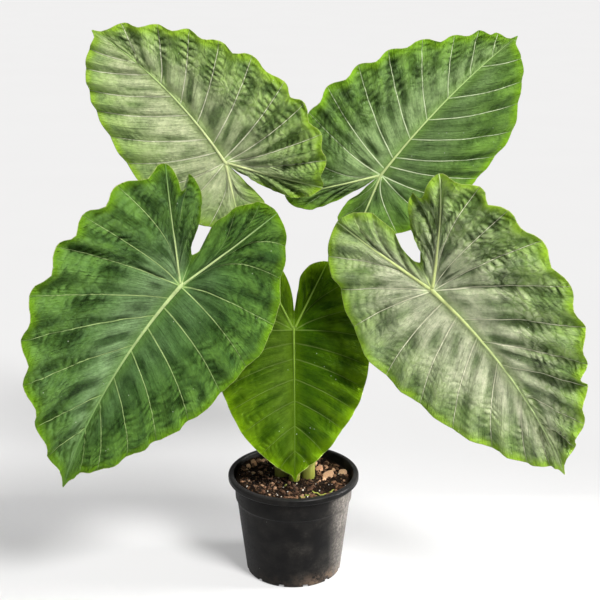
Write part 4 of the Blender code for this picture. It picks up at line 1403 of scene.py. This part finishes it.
def under_material():
    """The under face: paler and duller, with its veins standing out almost white-green."""
    found = bpy.data.materials.get("leaf_under")
    if found:
        return found
    s = Sketch("leaf_under")
    vein, edge, _ = s.split(s.fact("near"))
    phase, puckered, _ = s.split(s.fact("grain"))
    _, _, strength = s.split(s.fact("form"))
    cloud = s.noise(26.0, 4.0, 0.6)
    colour = s.blend(s.step(cloud, 0.34, 0.68), (0.120, 0.215, 0.070), (0.185, 0.300, 0.105))
    colour = s.blend(s.step(edge, 12.0, 0.5, 0.0, 0.6), colour, (0.26, 0.40, 0.07))
    line = s.maths("ABSOLUTE", s.maths("SUBTRACT", s.maths("FRACT", s.maths("ADD", phase, 0.5)), 0.5))
    line = s.times(s.step(line, 0.09, 0.01), puckered)
    colour = s.blend(s.times(line, 0.6), colour, (0.34, 0.45, 0.17))
    drawn = s.times(s.step(vein, 2.2, 1.1), strength)
    colour = s.blend(drawn, colour, (0.46, 0.56, 0.25))
    colour = s.blend(s.step(edge, 0.9, 0.35), colour, PALE_RIM)
    net = s.cells(430.0, "DISTANCE_TO_EDGE")
    colour = s.blend(s.step(net, 0.12, 0.0, 0.0, 0.30), colour, (0.30, 0.42, 0.16))
    roughness = s.step(s.noise(140.0, 3.0), 0.3, 0.7, 0.50, 0.64)
    normal = s.bump(s.step(net, 0.14, 0.0), 0.00030, 0.6)
    normal = s.bump(s.noise(800.0, 3.0), 0.00020, 0.5, normal)
    s.finish(colour, roughness, normal, 0.4)
    s.let_light_through(colour, 0.12)
    return s.material


def rib_material(name):
    """Fleshy pale midribs, greener towards their ends, with fine lengthwise streaks."""
    look = BLADE_LOOKS[name]
    s = Sketch(f"rib_{name}")
    part = s.fact("part", "Fac")
    cloud = s.noise(60.0, 4.0, 0.6)
    darker = tuple(0.72 * c for c in look["rib"])
    colour = s.blend(s.step(cloud, 0.35, 0.68), darker, look["rib"])
    colour = s.blend(s.step(s.noise(420.0, 3.0), 0.5, 0.72, 0.0, 0.30), colour, look["rib_end"])
    colour = s.blend(s.step(part, 0.04, 0.80), colour, look["rib_end"])
    roughness = s.step(s.noise(150.0, 2.0), 0.3, 0.7, 0.40, 0.50)
    return s.finish(colour, roughness, s.bump(s.noise(700.0, 3.0), 0.0002, 0.5), 0.4)


def stalk_material():
    """Green stalks: yellower at the foot, streaked and speckled lengthwise."""
    found = bpy.data.materials.get("stem")
    if found:
        return found
    s = Sketch("stem")
    run, _, around = s.split(s.fact("stem"))
    across = [s.times(s.maths(kind, around), 3.0) for kind in ("SINE", "COSINE")]
    streak = s.noise(3.2, 5.0, 0.65, s.joined(*across, s.times(run, 5.0)))
    colour = s.blend(s.step(streak, 0.33, 0.67), (0.105, 0.200, 0.030), (0.260, 0.380, 0.085))
    foot = s.step(run, 0.07, 0.0)
    colour = s.blend(s.times(foot, 0.80), colour, (0.22, 0.22, 0.035))
    scar = s.times(s.step(s.noise(180.0, 4.0), 0.58, 0.70), foot)
    colour = s.blend(s.times(scar, 0.8), colour, (0.22, 0.13, 0.05))
    colour = s.blend(s.step(run, 0.90, 1.0, 0.0, 0.6), colour, (0.45, 0.56, 0.18))
    roughness = s.step(s.noise(120.0, 3.0), 0.3, 0.7, 0.32, 0.46)
    normal = s.bump(streak, 0.0005, 0.5)
    return s.finish(colour, roughness, s.bump(s.noise(650.0, 3.0), 0.0002, 0.4, normal), 0.5)


def pot_material():
    """Matt black moulded plastic with fine grain, dust, dried splashes and earth round the foot, a right side
    painted paler by dust and painted light, and a painted highlight on the top of the lip.
    """
    s = Sketch("pot_plastic")
    x, _, height = s.split(s.place)
    cloud = s.step(s.noise(45.0, 4.0), 0.35, 0.7)
    colour = s.blend(cloud, (0.0035, 0.0034, 0.0034), (0.0085, 0.0080, 0.0074))
    grains = s.step(s.noise(260.0, 5.0, 0.75), 0.38, 0.66, 0.35, 1.0)
    dust = s.times(s.step(s.noise(24.0, 6.0, 0.7), 0.44, 0.74), s.step(x, -0.06, 0.09, 0.15, 1.0), grains)
    colour = s.blend(s.times(dust, 0.42), colour, (0.120, 0.108, 0.092))
    # The right side painted paler: dust, and painted light where the light falls on it
    dust_and_painted_light_right = s.times(s.step(x, 0.050, 0.079), s.step(s.noise(32.0, 5.0, 0.7), 0.30, 0.62, 0.45, 1.0),
                       s.step(height, 0.150, 0.140), grains, 0.80)
    colour = s.blend(dust_and_painted_light_right, colour, (0.330, 0.300, 0.270))
    earth = s.times(s.step(height, 0.030, 0.002), s.step(s.noise(80.0, 6.0, 0.75), 0.42, 0.60),
                    s.step(x, -0.02, 0.060, 0.10, 1.0))
    colour = s.blend(s.times(earth, 0.75), colour, (0.185, 0.130, 0.092))
    speck = s.times(s.step(s.cells(85.0), 0.06, 0.03), s.step(s.noise(33.0, 1.0), 0.60, 0.64), 0.5)
    colour = s.blend(speck, colour, (0.30, 0.29, 0.27))
    # A painted highlight on the top of the lip
    colour = s.blend(s.step(height, 0.157, 0.1598, 0.0, 0.12), colour, (0.10, 0.10, 0.10))
    dull = s.times(s.maths("ADD", dust, earth), 0.30)
    roughness = s.maths("ADD", s.step(s.noise(300.0, 3.0), 0.3, 0.7, 0.44, 0.54), dull)
    roughness = s.maths("SUBTRACT", roughness, s.step(height, 0.151, 0.157, 0.0, 0.18))
    normal = s.bump(s.noise(1500.0, 2.0), 0.00012, 0.5)
    normal = s.bump(s.noise(30.0, 2.0), 0.0012, 0.35, normal)
    return s.finish(colour, roughness, normal, 0.11)


def soil_material():
    """Dark moist mix: brown crumbs, and hollows made near-black by painted shade."""
    s = Sketch("potting_soil")
    fine = s.noise(900.0, 5.0, 0.7)
    cells = s.cells(520.0)
    colour = s.ramp(fine, (0.30, (0.003, 0.002, 0.001)), (0.52, (0.017, 0.010, 0.005)),
                    (0.72, (0.060, 0.035, 0.020)))
    # Painted shade in the hollows
    colour = s.blend(s.step(cells, 0.35, 0.7, 0.0, 0.7), colour, (0.006, 0.004, 0.003))
    normal = s.bump(cells, 0.0012, 0.8)
    return s.finish(colour, 0.92, s.bump(fine, 0.0008, 0.6, normal), 0.1)


def crumb_material():
    """Crumbs of the mix, each darker or redder than the next."""
    s = Sketch("soil_crumbs")
    tone = s.fact("tone", "Fac")
    colour = s.ramp(tone, (0.0, (0.004, 0.003, 0.002)), (0.55, (0.020, 0.011, 0.006)),
                    (0.85, (0.090, 0.045, 0.022)), (1.0, (0.200, 0.120, 0.070)))
    colour = s.blend(s.step(s.noise(1400.0, 3.0), 0.4, 0.7, 0.0, 0.5), colour, (0.008, 0.005, 0.004))
    return s.finish(colour, 0.88, s.bump(s.noise(1600.0, 3.0), 0.0006, 0.7), 0.15)


def bark_material(pale):
    """Bark chips with fibres, dark brown to orange, or the pale tan ones."""
    s = Sketch("pale_bark" if pale else "bark")
    tone = s.fact("tone", "Fac")
    if pale:
        colour = s.ramp(tone, (0.0, (0.50, 0.27, 0.15)), (0.5, (0.66, 0.40, 0.24)), (1.0, (0.78, 0.54, 0.36)))
    else:
        colour = s.ramp(tone, (0.0, (0.030, 0.013, 0.006)), (0.45, (0.080, 0.036, 0.017)),
                        (0.8, (0.20, 0.105, 0.055)), (1.0, (0.48, 0.30, 0.18)))
    stretch = s.node("ShaderNodeMapping")
    s.put(stretch.inputs["Vector"], s.place)
    stretch.inputs["Scale"].default_value = (1.0, 4.0, 2.5)
    fibre = s.noise(420.0, 5.0, 0.7, stretch.outputs[0])
    colour = s.blend(s.step(fibre, 0.45, 0.72, 0.0, 0.6), colour, (0.10, 0.045, 0.020))
    return s.finish(colour, 0.85, s.bump(fibre, 0.0009, 0.8), 0.3)


def perlite_material():
    """Porous white grains, some stained."""
    s = Sketch("perlite")
    stain = s.step(s.noise(300.0, 4.0), 0.42, 0.7)
    colour = s.blend(stain, (0.78, 0.75, 0.68), (0.42, 0.33, 0.22))
    return s.finish(colour, 0.85, s.bump(s.cells(1500.0), 0.0006, 0.8), 0.3)


def scrap_material():
    """Yellow-green scraps of leaf, browning in patches."""
    s = Sketch("leaf_scraps")
    colour = s.blend(s.step(s.noise(260.0, 4.0), 0.4, 0.65), (0.36, 0.42, 0.07), (0.24, 0.22, 0.05))
    return s.finish(colour, 0.6, s.bump(s.noise(900.0, 3.0), 0.0004, 0.6), 0.4)


def stage_material(name, colour, glow):
    """Plain matt white with hardly visible clouds, lit a little from itself."""
    s = Sketch(name)
    shade = s.step(s.noise(3.0, 2.0), 0.3, 0.7, 0.0, 1.0)
    darker = tuple(0.985 * c for c in colour)
    s.shader.inputs["Emission Color"].default_value = (1.0, 0.995, 0.99, 1.0)
    s.shader.inputs["Emission Strength"].default_value = glow
    return s.finish(s.blend(shade, darker, colour), 0.85, s.bump(s.noise(500.0, 2.0), 0.0002, 0.15), 0.2)


# Stage, light and camera

def stage_plane(name, back_edge, height, colour, glow):
    """A level plane of the stage, as wide as the stage, that ends at a line behind the plant."""
    near, far = (-STAGE_REACH, -STAGE_REACH), (STAGE_REACH, back_edge)
    corners = [(near[0], near[1]), (far[0], near[1]), (far[0], far[1]), (near[0], far[1])]
    points = [(x, y, height) for x, y in corners]
    obj = new_piece(name, points, [(0, 1, 2, 3)], [stage_material(name, colour, glow)])


def make_stage():
    """A white sheet under the plant, whose far edge is the line behind it, on a slightly greyer floor."""
    stage_plane("floor", STAGE_REACH, -0.0006, FLOOR_COLOUR, FLOOR_GLOW)
    stage_plane("sheet", SHEET_BACK_EDGE, -0.00005, SHEET_COLOUR, SHEET_GLOW)


def aim(obj, place, target):
    """Puts a light in its place and turns it to the target."""
    side, back, up = np.array(target, float) - np.array(place)
    obj.location = place
    obj.rotation_euler = (math.atan2(math.hypot(side, back), -up), 0, math.atan2(-side, back))


def add_light(name, kind, power, place, target, **settings):
    data = bpy.data.lights.new(name, kind)
    data.energy = power
    data.color = LIGHT_COLOUR
    for key, value in settings.items():
        setattr(data, key, value)
    obj = bpy.data.objects.new(name, data)
    aim(obj, place, target)
    bpy.context.scene.collection.objects.link(obj)


def make_light():
    """A pale room, a broad key from the right, front and above, and a low disk at the right of the pot."""
    world = bpy.data.worlds.new("world")
    world.use_nodes = True
    background = world.node_tree.nodes["Background"]
    background.inputs["Color"].default_value = (1.0, 1.0, 1.0, 1.0)
    background.inputs["Strength"].default_value = ROOM_LIGHT
    bpy.context.scene.world = world
    add_light("key", "SUN", KEY_LIGHT, 3 * np.array(KEY_FROM), (0, 0, 0), angle=math.radians(KEY_SPREAD))
    add_light("edge", "AREA", EDGE_LIGHT, EDGE_PLACE, EDGE_TARGET,
              shape="DISK", size=EDGE_SIZE, spread=math.radians(EDGE_SPREAD))


def make_camera():
    data = bpy.data.cameras.new("camera")
    data.lens = LENS
    data.sensor_width = SENSOR
    camera = bpy.data.objects.new("camera", data)
    camera.location = CAMERA_PLACE
    camera.rotation_euler = (math.radians(90 - CAMERA_DOWN), 0, 0)
    bpy.context.scene.collection.objects.link(camera)
    bpy.context.scene.camera = camera


def add(piece, slot, *nodes):
    """The piece moves with the plant and stands for the nodes, which it hides; the slot is not used."""
    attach(piece, "root")
    if nodes:
        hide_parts(*nodes)


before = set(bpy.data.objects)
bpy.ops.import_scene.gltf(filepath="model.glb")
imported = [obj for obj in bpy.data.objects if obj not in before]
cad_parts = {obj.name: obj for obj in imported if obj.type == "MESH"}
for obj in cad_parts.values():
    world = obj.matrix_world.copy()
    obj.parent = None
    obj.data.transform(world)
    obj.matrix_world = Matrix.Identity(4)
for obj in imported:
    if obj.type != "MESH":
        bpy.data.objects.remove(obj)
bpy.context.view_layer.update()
bpy.context.scene.view_settings.view_transform = "Standard"
make_camera()
make_stage()
make_light()
for number, (leaf, shape) in enumerate(BLADES.items()):
    blade, costae = make_blade(leaf, shape, 100 + 50 * number)
    add(blade, "leaf", f"blade_{leaf}")
    add(make_ribs(leaf, shape, costae), "leaf")
    add(make_stalk(leaf), "stalk", f"stalk_{leaf}")
add(make_pot(), "pot_plastic", "pot")
add(make_soil(), "potting_mix", "soil")
for bit in make_bits():
    add(bit, "potting_mix")
